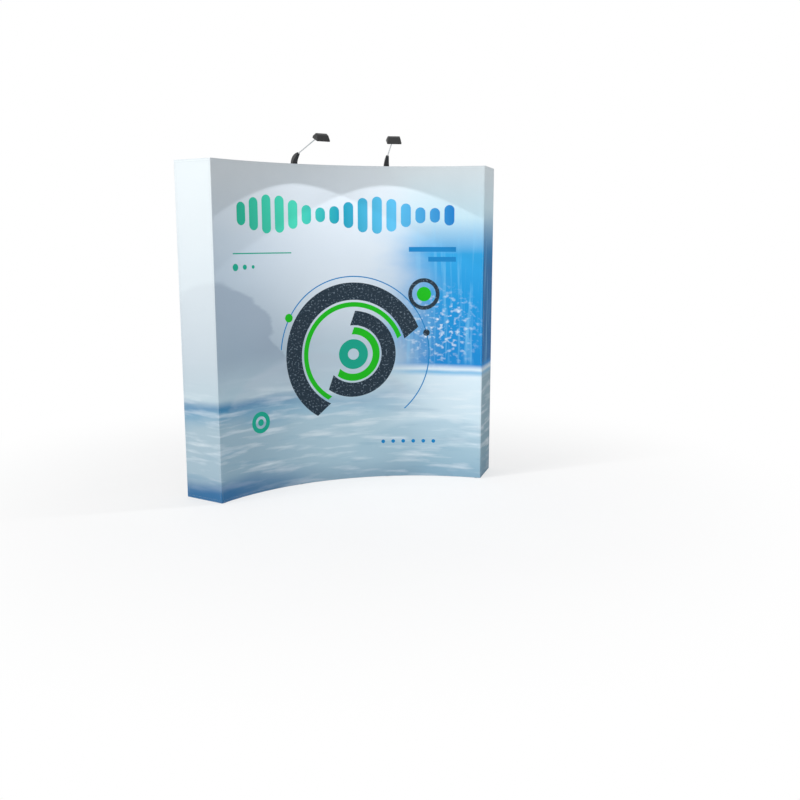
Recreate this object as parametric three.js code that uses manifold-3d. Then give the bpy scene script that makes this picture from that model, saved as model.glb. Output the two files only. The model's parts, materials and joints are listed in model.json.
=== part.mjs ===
// Curved pop-up display: a scissor lattice three bays wide and three bays high, a fabric graphic that
// wraps round both ends, and two clamp-on lamps. Millimetres, +Z up, the concave face looks along -Y.
import * as THREE from 'three';
import { mergeVertices } from 'three/addons/utils/BufferGeometryUtils.js';
import Module from 'manifold-3d';

const wasm = await Module();
wasm.setup();
const degrees = THREE.MathUtils.degToRad;

// The whole display. Radii are measured from the arc's centre, which lies in front of the wall.
const GRAPHIC_TOP = 2260;
const GRAPHIC_RADIUS = 1537;
const BAY_ANGLE = degrees(24.75);
const BAY_COUNT_ACROSS = 3;
const BAY_COUNT_UP = 3;
const FRAME_DEPTH = 279;
const CONTACT_GAP = 0.3;
const CUT_OVERRUN = 2;
const WELD_OVERLAP = 1.5;

// Fabric graphic with its sewn end panels
const FABRIC_THICKNESS = 2;
const FABRIC_FLOOR_GAP = 3;
const END_PANEL_DEPTH = 320;
const FABRIC_ARC_STEPS = 15;

// Hub moulding, one for the front and the rear layer
const HUB_RADIUS = 32;
const HUB_THICKNESS = 24;
const HUB_SIDES = 12;
const PAD_RADIUS = 26;
const PAD_HEIGHT = 3;
const TOP_HUB_DROP = 40;
const FOOT_RADIUS = 11;
const FOOT_HEIGHT = 8;
const FOOT_SINK = 8;
const FOOT_SIDES = 10;

// Scissor bars, their end tongues and the hub slots that the tongues sit in
const BAR_RADIUS = 6.5;
const BAR_SIDES = 8;
const BAR_OFFSET = 7.5;
const PIVOT_REACH = 22;
const PIVOT_DEPTH = 10;
const TUBE_SETBACK = 16.5;
const TONGUE_THICKNESS = 6.4;
const TONGUE_RADIUS = 5;
const TONGUE_STEPS = 2;
const SLOT_CLEARANCE = 0.4;
const SLOT_DEPTH = 20;
const PIVOT_PIN_RADIUS = 2.5;
const RIVET_RADIUS = 4;
const RIVET_SIDES = 6;

// Centre locks on the middle hubs: two stems, a catch pin, a pivot pin and a hinged hook
const STEM_RADIUS = 7;
const STEM_SIDES = 8;
const HOOK_SPAN = 73;
const STEM_PIN_SETBACK = 9;
const STEM_PIN_RADIUS = 3;
const STEM_PIN_SIDES = 8;
const STEM_PIN_HEAD_RADIUS = 5.5;
const STEM_PIN_HEAD = 1.5;
const HOOK_THICKNESS = 4;
const HOOK_END_RADIUS = 9;
const HOOK_NOTCH_CLEARANCE = 1.4;
const HOOK_HOLE_CLEARANCE = 0.4;
const HOOK_STEPS = 4;
const HOOK_TAB_LENGTH = 22;
const HOOK_TAB_HEIGHT = 6;

// Lamp clamp: a body that straddles the top hub's rim, a jaw, and a captive screw with its knob
const CLAMP_WIDTH = 30;
const CLAMP_BRIDGE_HEIGHT = 9.7;
const CLAMP_LIP_THICKNESS = 2.2;
const CLAMP_LIP_WIDTH = 24;
const CLAMP_LIP_GRIP = 5.5;
const CLAMP_LEG_THICKNESS = 8;
const CLAMP_LEG_DROP = 20;
const JAW_WIDTH = 22;
const JAW_HEIGHT = 16;
const JAW_THICKNESS = 12;
const JAW_TRAVEL = 8;
const SCREW_RADIUS = 4;
const SCREW_CLEARANCE = 0.3;
const SCREW_SIDES = 12;
const SCREW_TIP_SETBACK = 1.5;
const SCREW_RING_RADIUS = 6;
const SCREW_RING_THICKNESS = 1.8;
const KNOB_RADIUS = 13;
const KNOB_LOBE_DEPTH = 2;
const KNOB_LOBES = 6;
const KNOB_LENGTH = 12;
const SWIVEL_RADIUS = 5;
const SWIVEL_HEIGHT = 10;
const SWIVEL_CLEARANCE = 0.3;
const SWIVEL_SETBACK = 12;
const SWIVEL_SIDES = 12;

// Lamp arm: a wedge that swivels on the clamp's stud, and a thin rod that rises to the head
const WEDGE_RADIUS = 20;
const WEDGE_WIDTH = 38;
const WEDGE_TIP_WIDTH_SHARE = 0.45;
const WEDGE_BACK_HEIGHT = 18;
const WEDGE_TIP_REACH = 67;
const WEDGE_TIP_HEIGHT = 63;
const WEDGE_TIP_THICKNESS = 15;
const WEDGE_STEPS = 6;
const INLET_RADIUS = 5;
const INLET_LENGTH = 6;
const INLET_HEIGHT = 10;
const INLET_BORE_RADIUS = 3;
const INLET_BORE_DEPTH = 9;
const ARM_ANGLE = degrees(16);
const ARM_REACH = 306;
const ARM_INSERT = 28;
const ARM_RADIUS = 4;
const ARM_CLEARANCE = 0.3;
const ARM_SIDES = 12;
const EYE_RADIUS = 8;
const EYE_WIDTH = 10;

// Lamp head, drawn with its mouth level and then tilted: lengths run forward from its rear wall
const HEAD_TILT = degrees(23);
const HEAD_LENGTH = 68.5;
const HEAD_WIDTH = 96;
const HEAD_HEIGHT = 35.5;
const HEAD_END_BEVEL = 8;
const HEAD_REAR_HEIGHT = 16;
const HEAD_RIDGE_SETBACK = 20;
const HEAD_BROW_SETBACK = 46;
const HEAD_BROW_DROP = 4;
const HEAD_RIM_HEIGHT = 9;
const HEAD_RIM_SETBACK = 1.5;
const HINGE_SETBACK = 10.5;
const HINGE_HEIGHT = 8;
const EAR_THICKNESS = 4;
const EAR_CLEARANCE = 0.4;
const EAR_STEPS = 3;
const HINGE_PIN_RADIUS = 3;
const HINGE_PIN_CLEARANCE = 0.3;
const HINGE_PIN_HEAD_RADIUS = 5;
const HINGE_PIN_HEAD = 2;
const HINGE_PIN_SIDES = 12;
const LENS_RIM = 5;
const LENS_RECESS = 4;
const LENS_THICKNESS = 3.4;

// Radii and heights that the layers share
const FRONT_HUB_RADIUS = GRAPHIC_RADIUS + FABRIC_THICKNESS + CONTACT_GAP + HUB_THICKNESS / 2;
const REAR_HUB_RADIUS = FRONT_HUB_RADIUS + FRAME_DEPTH;
const PIVOT_INSET = HUB_THICKNESS / 2 - PIVOT_DEPTH;
const BOTTOM_HUB_HEIGHT = HUB_RADIUS + FOOT_HEIGHT;
const ROW_PITCH = (GRAPHIC_TOP - TOP_HUB_DROP - BOTTOM_HUB_HEIGHT) / BAY_COUNT_UP;
const COLUMNS = BAY_COUNT_ACROSS + 1;
const ROWS = BAY_COUNT_UP + 1;
const UP = new THREE.Vector3(0, 0, 1);
const RIGHT = new THREE.Vector3(1, 0, 0);
const FORWARD_AND_UP = new THREE.Matrix4().makeBasis(
  new THREE.Vector3(0, -1, 0),
  new THREE.Vector3(0, 0, 1),
  new THREE.Vector3(-1, 0, 0),
);

const columnAngle = (column) => (column - BAY_COUNT_ACROSS / 2) * BAY_ANGLE;
const rowHeight = (row) => BOTTOM_HUB_HEIGHT + row * ROW_PITCH;
const isInner = (index, count) => index > 0 && index < count - 1;

const finish = (color, roughness, metalness) => () =>
  new THREE.MeshStandardMaterial({ color, roughness, metalness });
const anodisedAluminium = finish(0xb4b8bb, 0.35, 0.9);
const blackNylon = finish(0x1b1c1e, 0.55, 0);
const zincSteel = finish(0x9a9da0, 0.4, 0.9);
const satinSteel = finish(0xc9cccd, 0.3, 0.9);
const blackMoulding = finish(0x2b2b2c, 0.5, 0);
const frostedLens = finish(0xe9ebe6, 0.4, 0);
const printedFabric = finish(0xb9cfdc, 0.8, 0);

// A closed geometry as a solid that can be joined and cut
function solid(geometry) {
  geometry.deleteAttribute('normal');
  geometry.deleteAttribute('uv');
  const merged = mergeVertices(geometry);
  const corners = merged.index.array;
  const faces = [];
  for (let i = 0; i < corners.length; i += 3) {
    const [a, b, c] = corners.slice(i, i + 3);
    if (a !== b && b !== c && c !== a) faces.push(a, b, c);
  }
  return new wasm.Manifold(new wasm.Mesh({
    numProp: 3,
    vertProperties: merged.attributes.position.array,
    triVerts: new Uint32Array(faces),
  }));
}

const join = (...geometries) => geometries.map(solid).reduce((whole, part) => whole.add(part));
const cut = (whole, ...tools) => tools.map(solid).reduce((left, tool) => left.subtract(tool), whole);

function geometryOf(body) {
  const { vertProperties, triVerts } = body.getMesh();
  const geometry = new THREE.BufferGeometry();
  geometry.setAttribute('position', new THREE.BufferAttribute(vertProperties, 3));
  geometry.setIndex(new THREE.BufferAttribute(triVerts, 1));
  geometry.computeVertexNormals();
  return geometry;
}

function piece(name, body, material) {
  const mesh = new THREE.Mesh(geometryOf(body), material());
  mesh.name = name;
  return mesh;
}

// A box between two corners
function block(low, high) {
  const size = high.map((value, axis) => value - low[axis]);
  const centre = high.map((value, axis) => (value + low[axis]) / 2);
  return new THREE.BoxGeometry(...size).translate(...centre);
}

// A round bar from one point to another
function rod(from, to, radius, sides) {
  const along = to.clone().sub(from);
  const turn = new THREE.Quaternion().setFromUnitVectors(
    new THREE.Vector3(0, 1, 0),
    along.clone().normalize(),
  );
  const centre = from.clone().add(to).divideScalar(2);
  return new THREE.CylinderGeometry(radius, radius, along.length(), sides)
    .applyQuaternion(turn)
    .translate(centre.x, centre.y, centre.z);
}

// A side outline, drawn forward and up, given its width across
function acrossWidth(outline, width, steps) {
  return new THREE.ExtrudeGeometry(outline, { depth: width, bevelEnabled: false, curveSegments: steps })
    .translate(0, 0, -width / 2)
    .applyMatrix4(FORWARD_AND_UP);
}

// Ways a bar can leave a hub, as quarter turns from the right
const WAY_RIGHT = 0;
const WAY_UP = 1;
const WAY_LEFT = 2;
const WAY_DOWN = 3;

function waysOfFrontHub(column, row) {
  const ways = [];
  if (column < COLUMNS - 1) ways.push(WAY_RIGHT);
  if (row < ROWS - 1) ways.push(WAY_UP);
  if (column > 0) ways.push(WAY_LEFT);
  if (row > 0) ways.push(WAY_DOWN);
  return ways;
}

// The rear hub is the front hub turned round, so its left and right change places
const turnedRound = (way) => (way % 2 === 0 ? 2 - way : way);

// Slots step round the hub like a pinwheel, so the two bars of a pair pass side by side
function hubSlot(way) {
  const half = TONGUE_THICKNESS / 2 + SLOT_CLEARANCE;
  const start = PIVOT_REACH - TONGUE_RADIUS - SLOT_CLEARANCE;
  const inner = HUB_THICKNESS / 2;
  return block(
    [start, inner - SLOT_DEPTH, BAR_OFFSET - half],
    [HUB_RADIUS + CUT_OVERRUN, inner + CUT_OVERRUN, BAR_OFFSET + half],
  ).rotateY(-way * Math.PI / 2);
}

// A hub about its own centre: its pad faces -Y and its slots open to +Y
function hub(ways, isBottom) {
  const outer = -HUB_THICKNESS / 2;
  const inner = HUB_THICKNESS / 2;
  const profile = [
    new THREE.Vector2(0, outer),
    new THREE.Vector2(PAD_RADIUS, outer),
    new THREE.Vector2(PAD_RADIUS, outer + PAD_HEIGHT),
    new THREE.Vector2(HUB_RADIUS, outer + PAD_HEIGHT),
    new THREE.Vector2(HUB_RADIUS, inner),
    new THREE.Vector2(0, inner),
  ];
  const disc = solid(new THREE.LatheGeometry(profile, HUB_SIDES));
  const slotted = cut(disc, ...ways.map(hubSlot));
  if (!isBottom) return slotted;
  const sole = new THREE.Vector3(0, 0, -HUB_RADIUS - FOOT_HEIGHT);
  const buried = new THREE.Vector3(0, 0, -HUB_RADIUS + FOOT_SINK);
  return slotted.add(solid(rod(sole, buried, FOOT_RADIUS, FOOT_SIDES)));
}

// A pin across a slot, on the axis that the bar's tongue turns about
function pivotPin(way) {
  const half = TONGUE_THICKNESS / 2 + SLOT_CLEARANCE + WELD_OVERLAP;
  const low = new THREE.Vector3(PIVOT_REACH, PIVOT_INSET, BAR_OFFSET - half);
  const high = new THREE.Vector3(PIVOT_REACH, PIVOT_INSET, BAR_OFFSET + half);
  return rod(low, high, PIVOT_PIN_RADIUS, RIVET_SIDES).rotateY(-way * Math.PI / 2);
}

// A bar between two pivots: a tube with a flat round-ended tongue at each end
function barParts(from, to, pivotAxis) {
  const along = to.clone().sub(from);
  const length = along.length();
  along.normalize();
  const outline = new THREE.Shape();
  outline.moveTo(TUBE_SETBACK + WELD_OVERLAP, TONGUE_RADIUS);
  outline.absarc(0, 0, TONGUE_RADIUS, Math.PI / 2, 3 * Math.PI / 2, false);
  outline.lineTo(TUBE_SETBACK + WELD_OVERLAP, -TONGUE_RADIUS);
  const extrusion = { depth: TONGUE_THICKNESS, bevelEnabled: false, curveSegments: TONGUE_STEPS };
  const tongue = () => new THREE.ExtrudeGeometry(outline, extrusion).translate(0, 0, -TONGUE_THICKNESS / 2);
  const tubeEnds = [TUBE_SETBACK, length - TUBE_SETBACK].map((x) => new THREE.Vector3(x, 0, 0));
  const sideways = pivotAxis.clone().cross(along);
  const place = new THREE.Matrix4().makeBasis(along, sideways, pivotAxis).setPosition(from);
  return [
    rod(...tubeEnds, BAR_RADIUS, BAR_SIDES),
    tongue(),
    tongue().rotateZ(Math.PI).translate(length, 0, 0),
  ].map((geometry) => geometry.applyMatrix4(place));
}

// The rivet that holds both bars of a pair, from the middle of one to the middle of the other
function rivet(centre, pivotAxis) {
  const reach = pivotAxis.clone().multiplyScalar(BAR_OFFSET);
  return rod(centre.clone().sub(reach), centre.clone().add(reach), RIVET_RADIUS, RIVET_SIDES);
}

// The two stems of a lock are alike, and the hook spans what they leave between their pins
const STEM_LENGTH = (FRAME_DEPTH - HUB_THICKNESS - HOOK_SPAN) / 2 + STEM_PIN_SETBACK;

// A lock stem along Y from a hub's inner face, with its headed pin pointing right
function stem() {
  const root = new THREE.Vector3(0, HUB_THICKNESS / 2 - WELD_OVERLAP, 0);
  const end = new THREE.Vector3(0, HUB_THICKNESS / 2 + STEM_LENGTH, 0);
  const pinAt = (x) => new THREE.Vector3(x, end.y - STEM_PIN_SETBACK, 0);
  const headStart = STEM_RADIUS + HOOK_THICKNESS + 2 * CONTACT_GAP;
  return [
    rod(root, end, STEM_RADIUS, STEM_SIDES),
    rod(pinAt(0), pinAt(headStart + STEM_PIN_HEAD), STEM_PIN_RADIUS, STEM_PIN_SIDES),
    rod(pinAt(headStart), pinAt(headStart + STEM_PIN_HEAD), STEM_PIN_HEAD_RADIUS, STEM_PIN_SIDES),
  ];
}

// One column: its front hubs and its vertical scissor pairs, pinned together
function columnLadder(column) {
  let ladder = null;
  const add = (body) => {
    ladder = ladder ? ladder.add(body) : body;
  };
  for (let row = 0; row < ROWS; row += 1) {
    const ways = waysOfFrontHub(column, row);
    add(hub(ways, row === 0).translate(0, 0, rowHeight(row)));
    const pins = ways.filter((way) => way % 2 === 1).map(pivotPin);
    pins.forEach((pin) => add(solid(pin.translate(0, 0, rowHeight(row)))));
    if (isInner(column, COLUMNS) && isInner(row, ROWS)) {
      stem().forEach((part) => add(solid(part.translate(0, 0, rowHeight(row)))));
    }
  }
  const rearPivot = FRAME_DEPTH - PIVOT_INSET;
  for (let row = 0; row < ROWS - 1; row += 1) {
    const low = rowHeight(row) + PIVOT_REACH;
    const high = rowHeight(row + 1) - PIVOT_REACH;
    const rising = [
      new THREE.Vector3(-BAR_OFFSET, PIVOT_INSET, low),
      new THREE.Vector3(-BAR_OFFSET, rearPivot, high),
    ];
    const falling = [
      new THREE.Vector3(BAR_OFFSET, PIVOT_INSET, high),
      new THREE.Vector3(BAR_OFFSET, rearPivot, low),
    ];
    const crossing = new THREE.Vector3(0, (PIVOT_INSET + rearPivot) / 2, (low + high) / 2);
    add(join(...barParts(...rising, RIGHT), ...barParts(...falling, RIGHT), rivet(crossing, RIGHT)));
  }
  return ladder;
}

// One horizontal pair, in a frame that faces the middle of its bay
function horizontalPair(row) {
  const inBay = (side, x, radius, z) => {
    const point = new THREE.Vector3(x, radius, z);
    point.applyAxisAngle(UP, -side * BAY_ANGLE / 2);
    return point.sub(new THREE.Vector3(0, FRONT_HUB_RADIUS, -rowHeight(row)));
  };
  const front = FRONT_HUB_RADIUS + PIVOT_INSET;
  const rear = REAR_HUB_RADIUS - PIVOT_INSET;
  const rightward = [
    inBay(-1, PIVOT_REACH, front, BAR_OFFSET),
    inBay(1, -PIVOT_REACH, rear, BAR_OFFSET),
  ];
  const leftward = [
    inBay(1, -PIVOT_REACH, front, -BAR_OFFSET),
    inBay(-1, PIVOT_REACH, rear, -BAR_OFFSET),
  ];
  const crossShare = -rightward[0].x / (rightward[1].x - rightward[0].x);
  const crossing = rightward[0].clone().lerp(rightward[1], crossShare);
  crossing.z = rowHeight(row);
  return join(...barParts(...rightward, UP), ...barParts(...leftward, UP), rivet(crossing, UP));
}

function rearHub(column, row) {
  const ways = waysOfFrontHub(column, row).map(turnedRound);
  let body = hub(ways, row === 0);
  if (isInner(column, COLUMNS) && isInner(row, ROWS)) {
    const parts = stem().map((part) => part.scale(-1, 1, 1));
    parts.forEach((part) => {
      flipFaces(part);
      body = body.add(solid(part));
    });
  }
  return body;
}

// A mirrored geometry has its faces inside out until each triangle is reversed
function flipFaces(geometry) {
  const corners = geometry.index.array;
  for (let i = 0; i < corners.length; i += 3) {
    [corners[i], corners[i + 1]] = [corners[i + 1], corners[i]];
  }
}

// The hook that spans from the rear stem's pin to the front stem's pin, about its own pivot
function lockHook() {
  const notch = STEM_PIN_RADIUS + HOOK_NOTCH_CLEARANCE;
  const ceiling = STEM_PIN_RADIUS + CONTACT_GAP;
  const outline = new THREE.Shape();
  outline.absarc(0, 0, HOOK_END_RADIUS, Math.PI, 2 * Math.PI, false);
  outline.lineTo(HOOK_SPAN - notch, -HOOK_END_RADIUS);
  outline.lineTo(HOOK_SPAN - notch, ceiling);
  outline.lineTo(HOOK_SPAN + notch, ceiling);
  outline.lineTo(HOOK_SPAN + notch, -HOOK_END_RADIUS / 2);
  outline.lineTo(HOOK_SPAN + HOOK_END_RADIUS, 0);
  outline.lineTo(HOOK_SPAN + HOOK_TAB_LENGTH, HOOK_END_RADIUS - HOOK_TAB_HEIGHT);
  outline.lineTo(HOOK_SPAN + HOOK_TAB_LENGTH, HOOK_END_RADIUS);
  outline.lineTo(0, HOOK_END_RADIUS);
  outline.absarc(0, 0, HOOK_END_RADIUS, Math.PI / 2, Math.PI, false);
  const hole = new THREE.Path();
  hole.absarc(0, 0, STEM_PIN_RADIUS + HOOK_HOLE_CLEARANCE, 0, 2 * Math.PI, true);
  outline.holes.push(hole);
  return solid(acrossWidth(outline, HOOK_THICKNESS, HOOK_STEPS));
}

// Heights and depths inside a lamp clamp, from the centre of the hub that it grips
const BRIDGE_BOTTOM = HUB_RADIUS + CONTACT_GAP;
const BRIDGE_TOP = BRIDGE_BOTTOM + CLAMP_BRIDGE_HEIGHT;
const HUB_SHOULDER = -HUB_THICKNESS / 2 + PAD_HEIGHT;
const JAW_FRONT = HUB_THICKNESS / 2 + CONTACT_GAP;
const JAW_TOP = BRIDGE_BOTTOM - CONTACT_GAP;
const SCREW_HEIGHT = JAW_TOP - JAW_HEIGHT / 2;
const RING_FRONT = JAW_FRONT + JAW_THICKNESS + JAW_TRAVEL + CONTACT_GAP;
const LEG_FRONT = RING_FRONT + SCREW_RING_THICKNESS + CONTACT_GAP;
const LEG_REAR = LEG_FRONT + CLAMP_LEG_THICKNESS;
const onScrew = (y) => new THREE.Vector3(0, y, SCREW_HEIGHT);

function clampBody() {
  const lipFront = HUB_SHOULDER - CONTACT_GAP - CLAMP_LIP_THICKNESS;
  const bridge = block(
    [-CLAMP_WIDTH / 2, lipFront, BRIDGE_BOTTOM],
    [CLAMP_WIDTH / 2, LEG_REAR, BRIDGE_TOP],
  );
  const lip = block(
    [-CLAMP_LIP_WIDTH / 2, lipFront, HUB_RADIUS - CLAMP_LIP_GRIP],
    [CLAMP_LIP_WIDTH / 2, HUB_SHOULDER - CONTACT_GAP, BRIDGE_TOP],
  );
  const leg = block(
    [-CLAMP_WIDTH / 2, LEG_FRONT, BRIDGE_BOTTOM - CLAMP_LEG_DROP],
    [CLAMP_WIDTH / 2, LEG_REAR, BRIDGE_TOP],
  );
  const studFoot = new THREE.Vector3(0, SWIVEL_SETBACK, BRIDGE_TOP - WELD_OVERLAP);
  const studTop = new THREE.Vector3(0, SWIVEL_SETBACK, BRIDGE_TOP + SWIVEL_HEIGHT);
  const body = join(bridge, lip, leg, rod(studFoot, studTop, SWIVEL_RADIUS, SWIVEL_SIDES));
  const from = onScrew(LEG_FRONT - CUT_OVERRUN);
  const to = onScrew(LEG_REAR + CUT_OVERRUN);
  return cut(body, rod(from, to, SCREW_RADIUS + SCREW_CLEARANCE, SCREW_SIDES));
}

function clampJaw() {
  const plate = block(
    [-JAW_WIDTH / 2, JAW_FRONT, JAW_TOP - JAW_HEIGHT],
    [JAW_WIDTH / 2, JAW_FRONT + JAW_THICKNESS, JAW_TOP],
  );
  const from = onScrew(JAW_FRONT - CUT_OVERRUN);
  const to = onScrew(JAW_FRONT + JAW_THICKNESS + CUT_OVERRUN);
  return cut(solid(plate), rod(from, to, SCREW_RADIUS + SCREW_CLEARANCE, SCREW_SIDES));
}

function clampScrew() {
  const outline = new THREE.Shape();
  const steps = 2 * KNOB_LOBES;
  for (let step = 0; step < steps; step += 1) {
    const radius = step % 2 === 0 ? KNOB_RADIUS : KNOB_RADIUS - KNOB_LOBE_DEPTH;
    const angle = step * Math.PI / KNOB_LOBES;
    const point = [radius * Math.cos(angle), radius * Math.sin(angle)];
    if (step === 0) outline.moveTo(...point);
    else outline.lineTo(...point);
  }
  const knobFront = LEG_REAR + CONTACT_GAP;
  const knob = new THREE.ExtrudeGeometry(outline, { depth: KNOB_LENGTH, bevelEnabled: false })
    .rotateX(-Math.PI / 2)
    .translate(0, knobFront, SCREW_HEIGHT);
  const shank = rod(
    onScrew(JAW_FRONT + SCREW_TIP_SETBACK),
    onScrew(knobFront + WELD_OVERLAP),
    SCREW_RADIUS,
    SCREW_SIDES,
  );
  const ring = rod(
    onScrew(RING_FRONT),
    onScrew(RING_FRONT + SCREW_RING_THICKNESS),
    SCREW_RING_RADIUS,
    SCREW_SIDES,
  );
  return join(knob, shank, ring);
}

// The arm's line, from the swivel axis at the wedge's foot
const armDirection = new THREE.Vector3(0, -Math.cos(ARM_ANGLE), Math.sin(ARM_ANGLE));
const wedgeTip = new THREE.Vector3(0, -WEDGE_TIP_REACH, WEDGE_TIP_HEIGHT);
const alongArm = (distance) => wedgeTip.clone().addScaledVector(armDirection, distance);

function armWedge() {
  const rise = [Math.cos(ARM_ANGLE), Math.sin(ARM_ANGLE)];
  const half = WEDGE_TIP_THICKNESS / 2;
  const tipTop = [WEDGE_TIP_REACH - half * rise[1], WEDGE_TIP_HEIGHT + half * rise[0]];
  const tipBottom = [WEDGE_TIP_REACH + half * rise[1], WEDGE_TIP_HEIGHT - half * rise[0]];
  const outline = new THREE.Shape();
  outline.moveTo(-WEDGE_RADIUS, 0);
  outline.lineTo(WEDGE_RADIUS, 0);
  outline.quadraticCurveTo(WEDGE_RADIUS, WEDGE_BACK_HEIGHT, ...tipBottom);
  outline.lineTo(...tipTop);
  outline.quadraticCurveTo(-WEDGE_RADIUS / 2, WEDGE_TIP_HEIGHT, -WEDGE_RADIUS, WEDGE_BACK_HEIGHT);
  const wedge = acrossWidth(outline, WEDGE_WIDTH, WEDGE_STEPS);
  const points = wedge.attributes.position;
  for (let i = 0; i < points.count; i += 1) {
    const heightShare = points.getZ(i) / tipTop[1];
    points.setX(i, points.getX(i) * (1 - heightShare * (1 - WEDGE_TIP_WIDTH_SHARE)));
  }
  const inletAt = (distance) => new THREE.Vector3(0, WEDGE_RADIUS + distance, INLET_HEIGHT);
  const inlet = rod(inletAt(-WELD_OVERLAP), inletAt(INLET_LENGTH), INLET_RADIUS, ARM_SIDES);
  const socket = rod(
    new THREE.Vector3(0, 0, -CUT_OVERRUN),
    new THREE.Vector3(0, 0, SWIVEL_HEIGHT),
    SWIVEL_RADIUS + SWIVEL_CLEARANCE,
    SWIVEL_SIDES,
  );
  const bore = rod(
    alongArm(-ARM_INSERT - CONTACT_GAP),
    alongArm(CUT_OVERRUN),
    ARM_RADIUS + ARM_CLEARANCE,
    ARM_SIDES,
  );
  const inletBore = rod(
    inletAt(INLET_LENGTH - INLET_BORE_DEPTH),
    inletAt(INLET_LENGTH + CUT_OVERRUN),
    INLET_BORE_RADIUS,
    ARM_SIDES,
  );
  return cut(join(wedge, inlet), socket, bore, inletBore);
}

const acrossHinge = (centre, half) => [
  centre.clone().addScaledVector(RIGHT, -half),
  centre.clone().addScaledVector(RIGHT, half),
];

function armRod() {
  const hinge = alongArm(ARM_REACH);
  const tube = rod(alongArm(-ARM_INSERT), hinge, ARM_RADIUS, ARM_SIDES);
  const eye = rod(...acrossHinge(hinge, EYE_WIDTH / 2), EYE_RADIUS, HINGE_PIN_SIDES);
  const hole = rod(
    ...acrossHinge(hinge, EYE_WIDTH / 2 + CUT_OVERRUN),
    HINGE_PIN_RADIUS + HINGE_PIN_CLEARANCE,
    HINGE_PIN_SIDES,
  );
  return cut(join(tube, eye), hole);
}

// Pieces of the head are drawn about the hinge axis, with the mouth level
const EAR_INNER = EYE_WIDTH / 2 + EAR_CLEARANCE;
const EAR_OUTER = EAR_INNER + EAR_THICKNESS;

function headHousing() {
  const side = new THREE.Shape([
    [0, 0],
    [HEAD_LENGTH, 0],
    [HEAD_LENGTH - HEAD_RIM_SETBACK, HEAD_RIM_HEIGHT],
    [HEAD_BROW_SETBACK, HEAD_HEIGHT - HEAD_BROW_DROP],
    [HEAD_RIDGE_SETBACK, HEAD_HEIGHT],
    [0, HEAD_REAR_HEIGHT],
  ].map(([forward, up]) => new THREE.Vector2(forward + HINGE_SETBACK, up - HINGE_HEIGHT)));
  const half = HEAD_WIDTH / 2;
  const front = new THREE.Shape([
    [-half, 0],
    [half, 0],
    [half, HEAD_RIM_HEIGHT],
    [half - HEAD_END_BEVEL, HEAD_HEIGHT],
    [-half + HEAD_END_BEVEL, HEAD_HEIGHT],
    [-half, HEAD_RIM_HEIGHT],
  ].map(([across, up]) => new THREE.Vector2(across, up - HINGE_HEIGHT)));
  const frontPrism = new THREE.ExtrudeGeometry(front, {
    depth: HINGE_SETBACK + HEAD_LENGTH + CUT_OVERRUN,
    bevelEnabled: false,
  }).rotateX(Math.PI / 2);
  const shell = solid(acrossWidth(side, HEAD_WIDTH + CUT_OVERRUN, 1)).intersect(solid(frontPrism));
  const ear = new THREE.Shape();
  ear.absarc(0, 0, EYE_RADIUS, Math.PI / 2, 3 * Math.PI / 2, false);
  ear.lineTo(HINGE_SETBACK + WELD_OVERLAP, -EYE_RADIUS);
  ear.lineTo(HINGE_SETBACK + WELD_OVERLAP, EYE_RADIUS);
  const ears = [-1, 1].map((sign) => acrossWidth(ear, EAR_THICKNESS, EAR_STEPS)
    .translate(sign * (EAR_INNER + EAR_OUTER) / 2, 0, 0));
  const hole = rod(
    ...acrossHinge(new THREE.Vector3(), EAR_OUTER + CUT_OVERRUN),
    HINGE_PIN_RADIUS + HINGE_PIN_CLEARANCE,
    HINGE_PIN_SIDES,
  );
  const recess = block(
    [-half + LENS_RIM, -HINGE_SETBACK - HEAD_LENGTH + LENS_RIM, -HINGE_HEIGHT - CUT_OVERRUN],
    [half - LENS_RIM, -HINGE_SETBACK - LENS_RIM, -HINGE_HEIGHT + LENS_RECESS],
  );
  return cut(ears.reduce((whole, part) => whole.add(solid(part)), shell), hole, recess);
}

function headLens() {
  const inset = LENS_RIM + CONTACT_GAP;
  const top = -HINGE_HEIGHT + LENS_RECESS - CONTACT_GAP;
  return solid(block(
    [-HEAD_WIDTH / 2 + inset, -HINGE_SETBACK - HEAD_LENGTH + inset, top - LENS_THICKNESS],
    [HEAD_WIDTH / 2 - inset, -HINGE_SETBACK - inset, top],
  ));
}

function headHingePin() {
  const reach = EAR_OUTER + CONTACT_GAP;
  const shank = rod(
    ...acrossHinge(new THREE.Vector3(), reach + WELD_OVERLAP),
    HINGE_PIN_RADIUS,
    HINGE_PIN_SIDES,
  );
  const heads = [-1, 1].map((sign) => rod(
    new THREE.Vector3(sign * reach, 0, 0),
    new THREE.Vector3(sign * (reach + HINGE_PIN_HEAD), 0, 0),
    HINGE_PIN_HEAD_RADIUS,
    HINGE_PIN_SIDES,
  ));
  return join(shank, ...heads);
}

// One lamp, about the centre of the top front hub that carries it
function lamp(side) {
  const group = new THREE.Group();
  group.add(piece(`${side}_lamp_clamp_body`, clampBody(), blackMoulding));
  group.add(piece(`${side}_lamp_clamp_jaw`, clampJaw(), zincSteel));
  group.add(piece(`${side}_lamp_clamp_screw`, clampScrew(), blackMoulding));
  const arm = new THREE.Group();
  arm.position.set(0, SWIVEL_SETBACK, BRIDGE_TOP + CONTACT_GAP);
  arm.add(piece(`${side}_lamp_arm_base`, armWedge(), blackMoulding));
  arm.add(piece(`${side}_lamp_arm_rod`, armRod(), satinSteel));
  const head = new THREE.Group();
  head.position.copy(alongArm(ARM_REACH));
  head.rotation.x = HEAD_TILT;
  head.add(piece(`${side}_lamp_head_housing`, headHousing(), blackMoulding));
  head.add(piece(`${side}_lamp_head_lens`, headLens(), frostedLens));
  head.add(piece(`${side}_lamp_head_hinge_pin`, headHingePin(), zincSteel));
  arm.add(head);
  group.add(arm);
  return group;
}

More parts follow.
